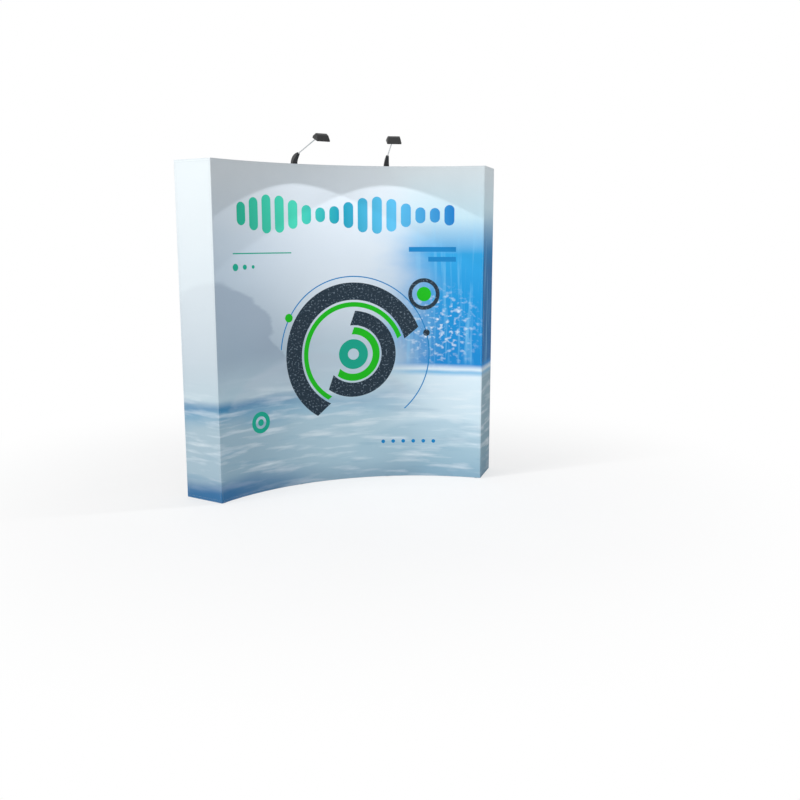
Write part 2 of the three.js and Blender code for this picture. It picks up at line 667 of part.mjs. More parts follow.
// The centre panel bends round the front hubs and runs out past the end columns to the sewn corners
const END_PANEL_OFFSET = HUB_RADIUS + CONTACT_GAP;
const FABRIC_HEIGHT = GRAPHIC_TOP - FABRIC_FLOOR_GAP;

function centrePanel() {
  const cornerAngle = Math.asin((END_PANEL_OFFSET + FABRIC_THICKNESS) / GRAPHIC_RADIUS);
  const halfAngle = columnAngle(COLUMNS - 1) + cornerAngle;
  const middle = Math.PI / 2;
  const outline = new THREE.Shape();
  outline.absarc(0, 0, GRAPHIC_RADIUS, middle + halfAngle, middle - halfAngle, true);
  outline.absarc(0, 0, GRAPHIC_RADIUS + FABRIC_THICKNESS, middle - halfAngle, middle + halfAngle, false);
  return solid(new THREE.ExtrudeGeometry(outline, {
    depth: FABRIC_HEIGHT,
    bevelEnabled: false,
    curveSegments: FABRIC_ARC_STEPS,
  }).translate(0, -FRONT_HUB_RADIUS, FABRIC_FLOOR_GAP));
}

function endPanel(side) {
  const inner = side * END_PANEL_OFFSET;
  const outer = side * (END_PANEL_OFFSET + FABRIC_THICKNESS);
  const front = GRAPHIC_RADIUS + FABRIC_THICKNESS + CONTACT_GAP - FRONT_HUB_RADIUS;
  const rear = GRAPHIC_RADIUS + END_PANEL_DEPTH - FRONT_HUB_RADIUS;
  return solid(block(
    [Math.min(inner, outer), front, FABRIC_FLOOR_GAP],
    [Math.max(inner, outer), rear, GRAPHIC_TOP],
  ));
}

// A group at an angle round the arc, with its origin on the circle of the front hubs
function onArc(angle) {
  const spoke = new THREE.Group();
  spoke.rotation.z = -angle;
  const seat = new THREE.Group();
  seat.position.y = FRONT_HUB_RADIUS;
  spoke.add(seat);
  wall.add(spoke);
  return seat;
}

const wall = new THREE.Group();

onArc(0).add(piece('graphic_front_panel', centrePanel(), printedFabric));

for (let column = 0; column < COLUMNS; column += 1) {
  const seat = onArc(columnAngle(column));
  const columnName = `c${column + 1}`;
  seat.add(piece(`column_${column + 1}_hubs_and_bars`, columnLadder(column), anodisedAluminium));
  for (let row = 0; row < ROWS; row += 1) {
    const rear = piece(`rear_hub_${columnName}_r${row + 1}`, rearHub(column, row), blackNylon);
    rear.position.set(0, FRAME_DEPTH, rowHeight(row));
    rear.rotation.z = Math.PI;
    seat.add(rear);
    if (isInner(column, COLUMNS) && isInner(row, ROWS)) {
      const hook = piece(`lock_hook_${columnName}_r${row + 1}`, lockHook(), zincSteel);
      const side = STEM_RADIUS + CONTACT_GAP + HOOK_THICKNESS / 2;
      const pivot = FRAME_DEPTH - HUB_THICKNESS / 2 - STEM_LENGTH + STEM_PIN_SETBACK;
      hook.position.set(side, pivot, rowHeight(row));
      seat.add(hook);
    }
  }
  if (column === 0) seat.add(piece('graphic_left_end', endPanel(-1), printedFabric));
  if (column === COLUMNS - 1) seat.add(piece('graphic_right_end', endPanel(1), printedFabric));
  if (isInner(column, COLUMNS)) {
    const light = lamp(columnAngle(column) < 0 ? 'left' : 'right');
    light.position.z = rowHeight(ROWS - 1);
    seat.add(light);
  }
}

for (let bay = 0; bay < BAY_COUNT_ACROSS; bay += 1) {
  const seat = onArc(columnAngle(bay) + BAY_ANGLE / 2);
  for (let row = 0; row < ROWS; row += 1) {
    const name = `horizontal_pair_b${bay + 1}_r${row + 1}`;
    seat.add(piece(name, horizontalPair(row), anodisedAluminium));
  }
}

// The origin is at the middle of the footprint, on the floor
const display = new THREE.Group();
wall.updateMatrixWorld(true);
const extent = new THREE.Box3().setFromObject(wall, true);
wall.position.y = -(extent.min.y + extent.max.y) / 2;
display.add(wall);

export default display;
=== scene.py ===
"""Curved pop-up display: the looks of a three by three bay frame, its sewn graphic and two clamp-on lamps.

Everything is in metres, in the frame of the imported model: +Z up, the concave printed face looks along -Y.
"""

import json
import math

import bmesh
import bpy
from bpy.props import FloatProperty, FloatVectorProperty, PointerProperty
from mathutils import Matrix, Vector, noise

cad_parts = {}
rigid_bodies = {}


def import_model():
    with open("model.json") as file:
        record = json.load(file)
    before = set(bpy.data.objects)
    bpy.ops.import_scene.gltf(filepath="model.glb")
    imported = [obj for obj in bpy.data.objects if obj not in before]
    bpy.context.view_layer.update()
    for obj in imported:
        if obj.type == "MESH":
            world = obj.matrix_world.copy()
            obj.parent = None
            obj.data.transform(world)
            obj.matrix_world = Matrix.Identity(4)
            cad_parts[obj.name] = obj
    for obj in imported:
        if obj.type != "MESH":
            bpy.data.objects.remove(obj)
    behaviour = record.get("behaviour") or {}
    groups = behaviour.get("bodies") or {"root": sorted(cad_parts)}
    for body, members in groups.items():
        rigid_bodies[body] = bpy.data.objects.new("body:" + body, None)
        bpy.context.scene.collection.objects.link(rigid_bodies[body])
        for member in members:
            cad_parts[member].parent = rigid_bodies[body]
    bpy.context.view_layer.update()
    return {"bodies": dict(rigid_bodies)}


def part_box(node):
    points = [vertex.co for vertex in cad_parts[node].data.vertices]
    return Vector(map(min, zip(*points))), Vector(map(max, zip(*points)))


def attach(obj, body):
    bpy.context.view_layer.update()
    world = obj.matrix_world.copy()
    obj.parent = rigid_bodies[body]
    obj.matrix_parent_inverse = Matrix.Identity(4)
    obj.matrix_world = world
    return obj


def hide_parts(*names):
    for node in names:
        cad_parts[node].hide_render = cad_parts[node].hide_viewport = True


bl_info = {
    "name": "Curved pop-up display",
    "version": (1, 0, 0),
    "blender": (4, 5, 0),
    "location": "3D View > Sidebar > Display",
    "description": "Builds the cover, frame, locks, lamps and studio of a curved pop-up display",
    "category": "Object",
}

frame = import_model()

# The wall, as the part's source has it
FACE_RADIUS = 1.537
FACE_TOP = 2.26
FACE_BOTTOM = 0.003
BAY_ANGLE = math.radians(24.75)
COLUMNS = 4
ROWS = 4
PANEL_THICKNESS = 0.002
CONTACT_GAP = 0.0003
FRAME_DEPTH = 0.279
TOP_HUB_DROP = 0.04
ARC_CENTRE = Vector((0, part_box("graphic_front_panel")[1].y - FACE_RADIUS - PANEL_THICKNESS, 0))

# Hubs, bars and locks
HUB_RADIUS = 0.032
HUB_HALF = 0.012
PAD_HEIGHT = 0.003
FOOT_HEIGHT = 0.008
PIVOT_REACH = 0.022
PIVOT_INSET = 0.002
PIVOT_PIN_RADIUS = 0.0025
BAR_OFFSET = 0.0075
BAR_RADIUS = 0.0065
TUBE_SETBACK = 0.0165
TONGUE_RADIUS = 0.005
TONGUE_HALF = 0.0032
SLOT_HALF = 0.0036
SLOT_DEPTH = 0.02
STEM_LENGTH = 0.1
STEM_RADIUS = 0.007
PIN_SETBACK = 0.009
HOOK_SPAN = 0.073
HOOK_THICKNESS = 0.004
HOOK_END_RADIUS = 0.009
HOOK_ASIDE = STEM_RADIUS + CONTACT_GAP + HOOK_THICKNESS / 2
FRONT_RADIUS = FACE_RADIUS + PANEL_THICKNESS + CONTACT_GAP + HUB_HALF
REAR_RADIUS = FRONT_RADIUS + FRAME_DEPTH
BOTTOM_ROW = HUB_RADIUS + FOOT_HEIGHT
ROW_PITCH = (FACE_TOP - TOP_HUB_DROP - BOTTOM_ROW) / (ROWS - 1)
CUT_OVERRUN = 0.002

# Lamp clamps: heights and depths from the centre of the hub that carries the clamp
BRIDGE_BOTTOM = HUB_RADIUS + CONTACT_GAP
BRIDGE_TOP = BRIDGE_BOTTOM + 0.0097
LIP_REAR = -(HUB_HALF - PAD_HEIGHT + CONTACT_GAP)
LIP_THICKNESS = 0.0022
JAW_THICKNESS = 0.012
JAW_TRAVEL = 0.008
JAW_FRONT = HUB_HALF + CONTACT_GAP
SCREW_HEIGHT = 0.024
SCREW_RADIUS = 0.004
THREAD_PITCH = 0.0015
THREAD_DEPTH = 0.0007
RING_THICKNESS = 0.0018
RING_FRONT = JAW_FRONT + JAW_THICKNESS + JAW_TRAVEL + CONTACT_GAP
LEG_THICKNESS = 0.008
LEG_FOOT = 0.0123
LEG_FRONT = RING_FRONT + RING_THICKNESS + CONTACT_GAP
LEG_REAR = LEG_FRONT + LEG_THICKNESS
KNOB_FRONT = LEG_REAR + CONTACT_GAP
KNOB_RADIUS = 0.012
KNOB_LOBES = 6
SWIVEL_SETBACK = 0.012

# Lamp arms and heads: the wedge's points are pairs of forward and up from its foot, the head's from its hinge
ARM_FOOT = BRIDGE_TOP + CONTACT_GAP
ARM_ANGLE = math.radians(16)
ARM_REACH = 0.306
WEDGE_RADIUS = 0.02
WEDGE_HALF_WIDTH = 0.019
WEDGE_BACK_HEIGHT = 0.018
WEDGE_TIP = Vector((0.067, 0.063))
WEDGE_TIP_HALF = 0.0075
HEAD_TILT = math.radians(23)
HEAD_CREST = 0.032
HEAD_FLOOR = -0.008
HEAD_BELT = 0.001
HEAD_HALF_WIDTH = 0.048

# Edges that meet more bluntly than this are rounded or kept sharp
BEVEL_ANGLE = math.radians(32)
SHARP_ANGLE = math.radians(38)

UP = Vector((0, 0, 1))
RIGHT = Vector((1, 0, 0))


def linear(code):
    """An sRGB hex colour as linear red, green, blue and alpha."""
    parts = [int(code[i : i + 2], 16) / 255 for i in (1, 3, 5)]
    return tuple(c / 12.92 if c <= 0.04045 else ((c + 0.055) / 1.055) ** 2.4 for c in parts) + (1.0,)


def spoke(column):
    """The frame of a column, counted from the left: its origin on the arc's centre, +Y outward."""
    angle = (column - (COLUMNS - 1) / 2) * BAY_ANGLE
    return Matrix.Translation(ARC_CENTRE) @ Matrix.Rotation(-angle, 4, "Z")


def row_height(row):
    return BOTTOM_ROW + row * ROW_PITCH


def is_inner(index, count):
    return 0 < index < count - 1


# Mesh helpers


def circle(radius, height, sides):
    turns = [2 * math.pi * i / sides for i in range(sides)]
    return [Vector((radius * math.cos(a), radius * math.sin(a), height)) for a in turns]


def between(start, end):
    """A place whose Z axis runs from start to end."""
    return Matrix.Translation(start) @ (end - start).to_track_quat("Z", "X").to_matrix().to_4x4()


def loft(bm, rings, place=Matrix(), slot=0):
    """A closed skin over rings of equally many points."""
    made = [[bm.verts.new(place @ point) for point in ring] for ring in rings]
    count = len(rings[0])
    faces = [bm.faces.new(made[0][::-1]), bm.faces.new(made[-1])]
    for low, high in zip(made, made[1:]):
        for i in range(count):
            after = (i + 1) % count
            faces.append(bm.faces.new((low[i], low[after], high[after], high[i])))
    for face in faces:
        face.material_index = slot


def turned(bm, profile, sides, place=Matrix(), slot=0):
    """A turned form from pairs of radius and height, given from one end to the other."""
    loft(bm, [circle(radius, height, sides) for radius, height in profile], place, slot)


def block(bm, low, high, place=Matrix(), slot=0):
    """A box between its lowest and highest corners."""
    corners = ((low[0], low[1]), (high[0], low[1]), (high[0], high[1]), (low[0], high[1]))
    loft(bm, [[Vector((x, y, z)) for x, y in corners] for z in (low[2], high[2])], place, slot)


def side_plate(bm, outline, half, centre=0.0, place=Matrix(), slot=0):
    """A plate across X from a side outline that is drawn forward (-Y) and up."""
    rings = [[Vector((centre + x, -forward, up)) for forward, up in outline] for x in (half, -half)]
    loft(bm, rings, place, slot)


def arc_points(centre, radius, start, end, steps):
    angles = [math.radians(start + (end - start) * i / steps) for i in range(steps + 1)]
    return [(centre[0] + radius * math.cos(a), centre[1] + radius * math.sin(a)) for a in angles]


def rounded_loop(half_a, half_b, corner, steps=5):
    """A rounded rectangle in two dimensions."""
    points = []
    for i, (a, b) in enumerate(((1, 1), (-1, 1), (-1, -1), (1, -1))):
        centre = (a * (half_a - corner), b * (half_b - corner))
        points += arc_points(centre, corner, 90 * i, 90 * i + 90, steps)
    return points


def smooth_object(name, bm, materials=()):
    bmesh.ops.recalc_face_normals(bm, faces=bm.faces)
    mesh = bpy.data.meshes.new(name)
    bm.to_mesh(mesh)
    bm.free()
    for material in materials:
        mesh.materials.append(material)
    mesh.polygons.foreach_set("use_smooth", [True] * len(mesh.polygons))
    made = bpy.data.objects.new(name, mesh)
    bpy.context.scene.collection.objects.link(made)
    return made


def to_object(name, bm, materials, bevel=0.0, segments=2, cutter=None):
    """The bmesh, less the cutter's solids, as an object. A bevel rounds edges and keeps flats flat."""
    made = smooth_object(name, bm, materials)
    if cutter:
        tool = smooth_object(name + "_cutter", cutter)
        boolean = made.modifiers.new("cuts", "BOOLEAN")
        boolean.solver = "EXACT"
        boolean.use_self = True
        boolean.object = tool
        made.data = applied(made)
        made.modifiers.clear()
        bpy.data.objects.remove(tool)
    if bevel:
        rounding = made.modifiers.new("edges", "BEVEL")
        rounding.width = bevel
        rounding.segments = segments
        rounding.limit_method = "ANGLE"
        rounding.angle_limit = BEVEL_ANGLE
        made.modifiers.new("flats", "WEIGHTED_NORMAL")
    else:
        made.data.set_sharp_from_angle(angle=SHARP_ANGLE)
    return made


def applied(target):
    """The object's mesh with its modifiers in it."""
    bpy.context.view_layer.update()
    return bpy.data.meshes.new_from_object(target.evaluated_get(bpy.context.evaluated_depsgraph_get()))


def taken_back(made):
    """The object's finished mesh as a bmesh, with the object itself removed."""
    bm = bmesh.new()
    bm.from_mesh(applied(made))
    bpy.data.objects.remove(made)
    return bm


def place_piece(made, body, slot, *nodes):
    """Hands a finished piece to the frame: what it rides on, and the nodes that it stands for, which it
    hides. The slot argument, its finish, is not used.
    """
    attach(made, body)
    if nodes:
        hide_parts(*nodes)
    return made


# Materials


def add(tree, kind, links=None, out=0, **settings):
    """Adds a shader node and returns one output. links gives its inputs a value or another node's output."""
    node = tree.nodes.new("ShaderNode" + kind)
    for name, value in settings.items():
        setattr(node, name, value)
    for key, value in (links or {}).items():
        if isinstance(value, bpy.types.NodeSocket):
            tree.links.new(value, node.inputs[key])
        else:
            node.inputs[key].default_value = value
    return node.outputs[out] if node.outputs else None


def blank(name, **sockets):
    """A material with one Principled shader, whose sockets are named with _ for spaces."""
    made = bpy.data.materials.new(name)
    made.use_nodes = True
    tree = made.node_tree
    tree.nodes.clear()
    values = {key.replace("_", " "): value for key, value in sockets.items()}
    shader = add(tree, "BsdfPrincipled", values).node
    add(tree, "OutputMaterial", {"Surface": shader.outputs[0]})
    return made, tree, shader


def finish_with(tree, shader, colour, roughness, height, depth):
    """Links a pattern's outputs to the shader. height becomes a bump of that depth in metres."""
    tree.links.new(colour, shader.inputs["Base Color"])
    tree.links.new(roughness, shader.inputs["Roughness"])
    tree.links.new(add(tree, "Bump", {"Height": height, "Distance": depth}), shader.inputs["Normal"])


def per_metre(*sizes_mm):
    """How often patterns of those sizes in millimetres repeat in a metre."""
    return tuple(1000 / size for size in sizes_mm)


def mottled(tree, place, patch_mm, low, high):
    """A number that wanders between low and high, from patch to patch of that width."""
    wander = add(tree, "TexNoise", {"Vector": place, "Scale": 1000 / patch_mm, "Detail": 3.0})
    return add(tree, "MapRange", {0: wander, 1: 0.3, 2: 0.7, 3: low, 4: high})


def moulded_plastic(name, colour, worn, roughness, grain_mm):
    """Moulded plastic: spark-eroded grain breaks up the highlight, and handling polishes patches of it."""
    made, tree, shader = blank(name, IOR=1.5)
    place = add(tree, "TexCoord", out="Object")
    grain = add(tree, "TexNoise", {"Vector": place, "Scale": 1000 / grain_mm, "Detail": 2.0})
    patches = mottled(tree, place, 45, 0.0, 1.0)
    handled = add(tree, "Mix", {0: patches, 6: colour, 7: worn}, 2, data_type="RGBA")
    gloss = mottled(tree, place, 25, roughness - 0.07, roughness + 0.08)
    finish_with(tree, shader, handled, gloss, grain, depth=0.00012)
    return made


def metal(name, colour, shade, roughness, grain_mm, depth):
    """Bare or plated metal: a fine grain, as long as it is on each axis, and faint clouding."""
    made, tree, shader = blank(name, Metallic=1.0)
    place = add(tree, "TexCoord", out="Object")
    stretched = add(tree, "Mapping", {0: place, 3: per_metre(*grain_mm)})
    lines = add(tree, "TexNoise", {"Vector": stretched, "Scale": 1.0, "Detail": 3.0})
    clouds = mottled(tree, place, 110, 0.0, 1.0)
    clouded = add(tree, "Mix", {0: clouds, 6: colour, 7: shade}, 2, data_type="RGBA")
    gloss = add(tree, "MapRange", {0: lines, 3: roughness - 0.08, 4: roughness + 0.1})
    finish_with(tree, shader, clouded, gloss, lines, depth)
    return made


def hook_tape(colour):
    """Woven nylon hook tape: rows of stiff monofilament hooks, a dark matt pile with a bright speckle."""
    made, tree, shader = blank("nylon hook tape", Sheen_Weight=0.3)
    place = add(tree, "TexCoord", out="Object")
    # Real hooks stand about 1.2 mm apart, drawn at 1.6 mm so that a close view shows them
    hooks = add(tree, "TexVoronoi", {"Vector": place, "Scale": 1000 / 1.6, "Randomness": 0.25})
    tips = add(tree, "MapRange", {0: hooks, 1: 0.1, 2: 0.55, 3: 1.0, 4: 0.0})
    speckled = add(tree, "Mix", {0: tips, 6: linear("#08090a"), 7: colour}, 2, data_type="RGBA")
    finish_with(tree, shader, speckled, mottled(tree, place, 17, 0.62, 0.78), tips, depth=0.0008)
    return made


# A wave texture of scale 1 repeats every 0.314 of a metre
WAVE_REPEAT = 0.314

# The wales of a warp knit lie about 0.8 mm apart, drawn at 1.8 mm so that a close view shows them
WALE_SPACING = 0.0018


def knit_waves(tree, place):
    """Crossed waves, upright wales and level courses, that stand for the loops of a warp knit."""
    links = {"Vector": place, "Scale": WAVE_REPEAT / WALE_SPACING, "Distortion": 0.4}
    wales = add(tree, "TexWave", links, 1)
    courses = add(tree, "TexWave", links, 1, bands_direction="Y")
    return add(tree, "Math", {0: wales, 1: courses}, operation="MULTIPLY")


def plain_knit(name, colour, shade, sheen):
    """Warp-knit polyester or brushed loop: soft and matt, with upright wales and a light edge fuzz."""
    made, tree, shader = blank(name, Sheen_Weight=sheen, Sheen_Roughness=0.5)
    place = add(tree, "UVMap", uv_map="print")
    weave = knit_waves(tree, place)
    yarn = add(tree, "Mix", {0: weave, 6: shade, 7: colour}, 2, data_type="RGBA")
    finish_with(tree, shader, yarn, mottled(tree, place, 110, 0.7, 0.88), weave, depth=0.0002)
    return made


# The print: tints from the hem to the top edge, as shares of its height, on its left and its right
LEFT_TINTS = (
    (0.0, "#7b98a9"), (0.06, "#8eaab9"), (0.2, "#9ab4c1"), (0.25, "#6599b7"), (0.272, "#3d7fa8"),
    (0.305, "#b0c6d0"), (0.45, "#9fb2c0"), (0.72, "#bfcdd8"), (1.0, "#cfd5d8"),
)
RIGHT_TINTS = (
    (0.0, "#93b4c4"), (0.09, "#a2bfcd"), (0.18, "#cbdfe8"), (0.335, "#d9eaf2"), (0.35, "#6fb6e0"),
    (0.36, "#e2eff6"), (0.378, "#1486cc"), (0.55, "#1490d2"), (0.73, "#2b9fda"), (0.84, "#c3e0eb"),
    (1.0, "#dbe4e7"),
)

# Pale glows on the left: centre (across, up) and reach in metres, strength, tint
GLOWS = (((0.1, 1.6), 1.15, 0.7, "#e2ebf1"), ((0.05, 0.42), 0.9, 0.6, "#bfdbe6"))

# Soft hills: crest (across, up), rise, width and the height where mist takes the foot, tint, strength
HILLS = (
    ((-1.02, 1.5), 0.62, 0.62, 0.56, "#8797aa", 0.5),
    ((-0.25, 0.98), 0.22, 0.6, 0.5, "#b9c5d0", 0.45),
    ((0.75, 0.46), 0.14, 0.55, 0.12, "#8fb6c9", 0.45),
)
HILL_EDGE = 0.05
HILL_DEPTH = 0.7
MIST_DEPTH = 0.3

# The end panels start this far from the middle of the print
END_START = 1.03

# A burst of flecks in the blue: its centre, and the distances where it ends and where it is full
BURST = (0.72, 1.12)
BURST_REACH = (0.34, 0.1)

# A row of upright strokes on the print, in metres, with the turn of their wave from one to the next
STROKE_TINTS = ((0.0, "#12a383"), (0.3, "#46d0b2"), (0.5, "#1396b0"), (0.72, "#58b8e2"), (1.0, "#0a74c0"))
STROKE_TINTS_REACH = 0.85
STROKE_PITCH = 0.104
STROKE_WIDTH = 0.072
STROKE_MIDDLE = 1.92
STROKE_HALF_HEIGHT = 0.09
STROKE_SWING = 0.04
STROKE_TURN = 0.83
STROKES_EACH_SIDE = 8

# Motifs in metres. Arcs: centre, radius, half their width, the way their gap looks, tint
ORBIT = (0.08, 0.93)
WHOLE = (0, 0)
ARCS = (
    (ORBIT, 0.56, 0.004, (-0.45, -0.89), "blue"),
    (ORBIT, 0.455, 0.062, (0.64, -0.77), "slate"),
    (ORBIT, 0.36, 0.017, (0.64, -0.77), "green"),
    (ORBIT, 0.262, 0.052, (-0.94, 0.34), "slate"),
    (ORBIT, 0.17, 0.026, (-0.94, 0.34), "green"),
    (ORBIT, 0.075, 0.034, WHOLE, "teal"),
    ((0.6, 1.36), 0.1, 0.014, WHOLE, "slate"),
    ((-0.66, 0.5), 0.06, 0.016, WHOLE, "teal"),
)
GAP_SHARE = 0.35
GAP_MARGIN = 0.001

# Discs: centre, radius, tint. The last six are a row of dots
DISCS = (
    ((0.6, 1.36), 0.052, "green"),
    ((-0.41, 1.21), 0.03, "green"),
    ((0.62, 1.08), 0.024, "slate"),
    ((-0.66, 0.5), 0.024, "teal"),
    ((-0.84, 1.57), 0.024, "teal"),
    ((-0.76, 1.57), 0.017, "teal"),
    ((-0.69, 1.57), 0.012, "teal"),
    *(((0.3 + 0.075 * i, 0.27), 0.014, "blue") for i in range(6)),
)

# Rules: centre, half their length and height, tint
RULES = (
    ((-0.62, 1.66), (0.24, 0.004), "teal"),
    ((0.66, 1.68), (0.17, 0.017), "blue"),
    ((0.73, 1.61), (0.10, 0.017), "blue"),
)


def graded(tree, share, stops):
    """A colour that runs through the stops as share goes from 0 to 1."""
    colour = add(tree, "ValToRGB", {0: share})
    points = colour.node.color_ramp.elements
    while len(points) < len(stops):
        points.new(0.5)
    for point, (position, code) in zip(points, stops):
        point.position = position
        point.color = linear(code)
    return colour


def motif_masks(tree, place):
    """The print's arcs, discs and rules: pairs of mask and tint name."""
    masks = []
    for centre, radius, half_width, gap, tint in ARCS:
        away = add(tree, "VectorMath", {0: place, 1: (*centre, 0)}, operation="SUBTRACT")
        distance = add(tree, "VectorMath", {0: away}, "Value", operation="LENGTH")
        ring = add(tree, "Math", {0: distance, 1: radius, 2: half_width}, operation="COMPARE")
        ahead = add(tree, "VectorMath", {0: away, 1: (*gap, 0)}, "Value", operation="DOT_PRODUCT")
        kept = add(tree, "Math", {0: ahead, 1: GAP_SHARE * radius + GAP_MARGIN}, operation="LESS_THAN")
        masks.append((add(tree, "Math", {0: ring, 1: kept}, operation="MULTIPLY"), tint))
    for centre, radius, tint in DISCS:
        distance = add(tree, "VectorMath", {0: place, 1: (*centre, 0)}, "Value", operation="DISTANCE")
        masks.append((add(tree, "Math", {0: distance, 1: radius}, operation="LESS_THAN"), tint))
    for centre, half, tint in RULES:
        away = add(tree, "VectorMath", {0: place, 1: (*centre, 0)}, operation="SUBTRACT")
        shares = add(tree, "VectorMath", {0: away, 1: (1 / half[0], 1 / half[1], 0)}, operation="MULTIPLY")
        parts = add(tree, "SeparateXYZ", {0: add(tree, "VectorMath", {0: shares}, operation="ABSOLUTE")}).node
        furthest = add(tree, "Math", {0: parts.outputs[0], 1: parts.outputs[1]}, operation="MAXIMUM")
        masks.append((add(tree, "Math", {0: furthest, 1: 1.0}, operation="LESS_THAN"), tint))
    return masks


def stroke_mask(tree, across, up):
    """A row of round-ended upright strokes, whose heights follow a slow wave."""
    count = add(tree, "Math", {0: across, 1: 1 / STROKE_PITCH}, operation="MULTIPLY")
    number = add(tree, "Math", {0: count}, operation="FLOOR")
    phase = add(tree, "Math", {0: number, 1: STROKE_TURN}, operation="MULTIPLY")
    wave = add(tree, "Math", {0: phase}, operation="SINE")
    mean = STROKE_HALF_HEIGHT - STROKE_WIDTH / 2
    straight = add(tree, "Math", {0: wave, 1: STROKE_SWING, 2: mean}, operation="MULTIPLY_ADD")
    rise = add(tree, "Math", {0: up, 1: STROKE_MIDDLE}, operation="SUBTRACT")
    rise = add(tree, "Math", {0: rise}, operation="ABSOLUTE")
    rise = add(tree, "Math", {0: rise, 1: straight}, operation="SUBTRACT")
    rise = add(tree, "Math", {0: rise, 1: 0.0}, operation="MAXIMUM")
    aside = add(tree, "Math", {0: count}, operation="FRACT")
    aside = add(tree, "Math", {0: aside, 1: STROKE_PITCH, 2: -STROKE_PITCH / 2}, operation="MULTIPLY_ADD")
    away = add(tree, "CombineXYZ", {0: aside, 1: rise})
    distance = add(tree, "VectorMath", {0: away}, "Value", operation="LENGTH")
    inside = add(tree, "Math", {0: distance, 1: STROKE_WIDTH / 2}, operation="LESS_THAN")
    reach = STROKES_EACH_SIDE * STROKE_PITCH
    shown = add(tree, "Math", {0: across, 1: 0.0, 2: reach}, operation="COMPARE")
    return add(tree, "Math", {0: inside, 1: shown}, operation="MULTIPLY")


def print_ground(tree, place, height, lift, side):
    """The tints under everything: misty with two pale glows on the left, a blue fall on the right."""
    left = graded(tree, add(tree, "Math", {0: height, 1: lift}, operation="ADD"), LEFT_TINTS)
    # The right side's bands run almost level, so it follows the drift by a fifth
    calm = add(tree, "Math", {0: lift, 1: 0.2, 2: height}, operation="MULTIPLY_ADD")
    right = graded(tree, calm, RIGHT_TINTS)
    for centre, reach, strength, code in GLOWS:
        glow = add(tree, "VectorMath", {0: place, 1: (*centre, 0)}, "Value", operation="DISTANCE")
        spread = {0: glow, 1: reach, 2: 0.1, 4: strength}
        glow = add(tree, "MapRange", spread, interpolation_type="SMOOTHSTEP")
        left = add(tree, "Mix", {0: glow, 6: left, 7: linear(code)}, 2, data_type="RGBA")
    return add(tree, "Mix", {0: side, 6: left, 7: right}, 2, data_type="RGBA")


def hill_layers(tree, up, warped):
    """Soft hills one before the other: each has a crest line, and fades downward into mist."""
    layers = []
    for (centre, crest), rise, width, foot, code, strength in HILLS:
        aside = add(tree, "Math", {0: warped, 1: centre}, operation="SUBTRACT")
        square = add(tree, "Math", {0: aside, 1: aside}, operation="MULTIPLY")
        line = add(tree, "Math", {0: square, 1: -rise / width**2, 2: crest}, operation="MULTIPLY_ADD")
        under = add(tree, "Math", {0: line, 1: up}, operation="SUBTRACT")
        soft = {0: under, 1: 0.0, 2: HILL_EDGE, 4: strength}
        edge = add(tree, "MapRange", soft, interpolation_type="SMOOTHSTEP")
        fade = add(tree, "MapRange", {0: under, 1: HILL_EDGE, 2: HILL_DEPTH, 3: 1.0, 4: 0.0})
        mist = add(tree, "MapRange", {0: up, 1: foot, 2: foot + MIST_DEPTH})
        fade = add(tree, "Math", {0: fade, 1: mist}, operation="MULTIPLY")
        layers.append((add(tree, "Math", {0: edge, 1: fade}, operation="MULTIPLY"), linear(code)))
    return layers


def end_tints_and_painted_light(tree, across, height, blue):
    """The end panels' tints, part print and part painted light: the left one grows ice-pale towards its top,
    which is partly painted light, and the right one is a deeper blue that darkens lower down, which is partly
    painted shade.
    """
    icy_and_painted_light = add(tree, "MapRange", {0: height, 1: 0.28, 2: 0.42, 3: 0.12, 4: 0.45})
    more = add(tree, "MapRange", {0: height, 1: 0.42, 2: 0.95, 4: 0.5})
    icy_and_painted_light = add(tree, "Math", {0: icy_and_painted_light, 1: more}, operation="ADD")
    below_and_painted_shade = add(tree, "MapRange", {0: height, 1: 0.372, 2: 0.33, 4: 0.85})
    layers = []
    # Left end: ice-pale print that is also painted light on the panel that faces the key light. Right end: a
    # deeper blue and a darker lower tint that are also painted shade on the panel turned away from it.
    for edge, beyond, zone, code in (
        (-END_START, "LESS_THAN", icy_and_painted_light, "#f2fafc"),
        (END_START, "GREATER_THAN", blue, "#0067a4"),
        (END_START, "GREATER_THAN", below_and_painted_shade, "#7695a3"),
    ):
        end = add(tree, "Math", {0: across, 1: edge}, operation=beyond)
        layers.append((add(tree, "Math", {0: end, 1: zone}, operation="MULTIPLY"), linear(code)))
    return layers


def streak_layers(tree, place, low, blue):
    """Level streaks in the lower part, upright ones and a burst of flecks in the blue."""
    burst = add(tree, "VectorMath", {0: place, 1: (*BURST, 0)}, "Value", operation="DISTANCE")
    burst = add(tree, "MapRange", {0: burst, 1: BURST_REACH[0], 2: BURST_REACH[1]})
    layers = []
    for size_mm, start, code, strength, zone in (
        ((385, 53, 1000), 0.5, "#f2f7fa", 0.5, low),
        ((590, 91, 1000), 0.55, "#5a90ae", 0.35, low),
        ((38.5, 670, 1000), 0.52, "#8fd0f0", 0.6, blue),
        ((41.7, 32.3, 1000), 0.52, "#f2fafd", 1.0, burst),
    ):
        stretched = add(tree, "Mapping", {0: place, 3: per_metre(*size_mm)})
        streak = add(tree, "TexNoise", {"Vector": stretched, "Scale": 1.0, "Detail": 4.0})
        mask = add(tree, "MapRange", {0: streak, 1: start, 2: start + 0.2, 4: strength})
        layers.append((add(tree, "Math", {0: mask, 1: zone}, operation="MULTIPLY"), linear(code)))
    return layers


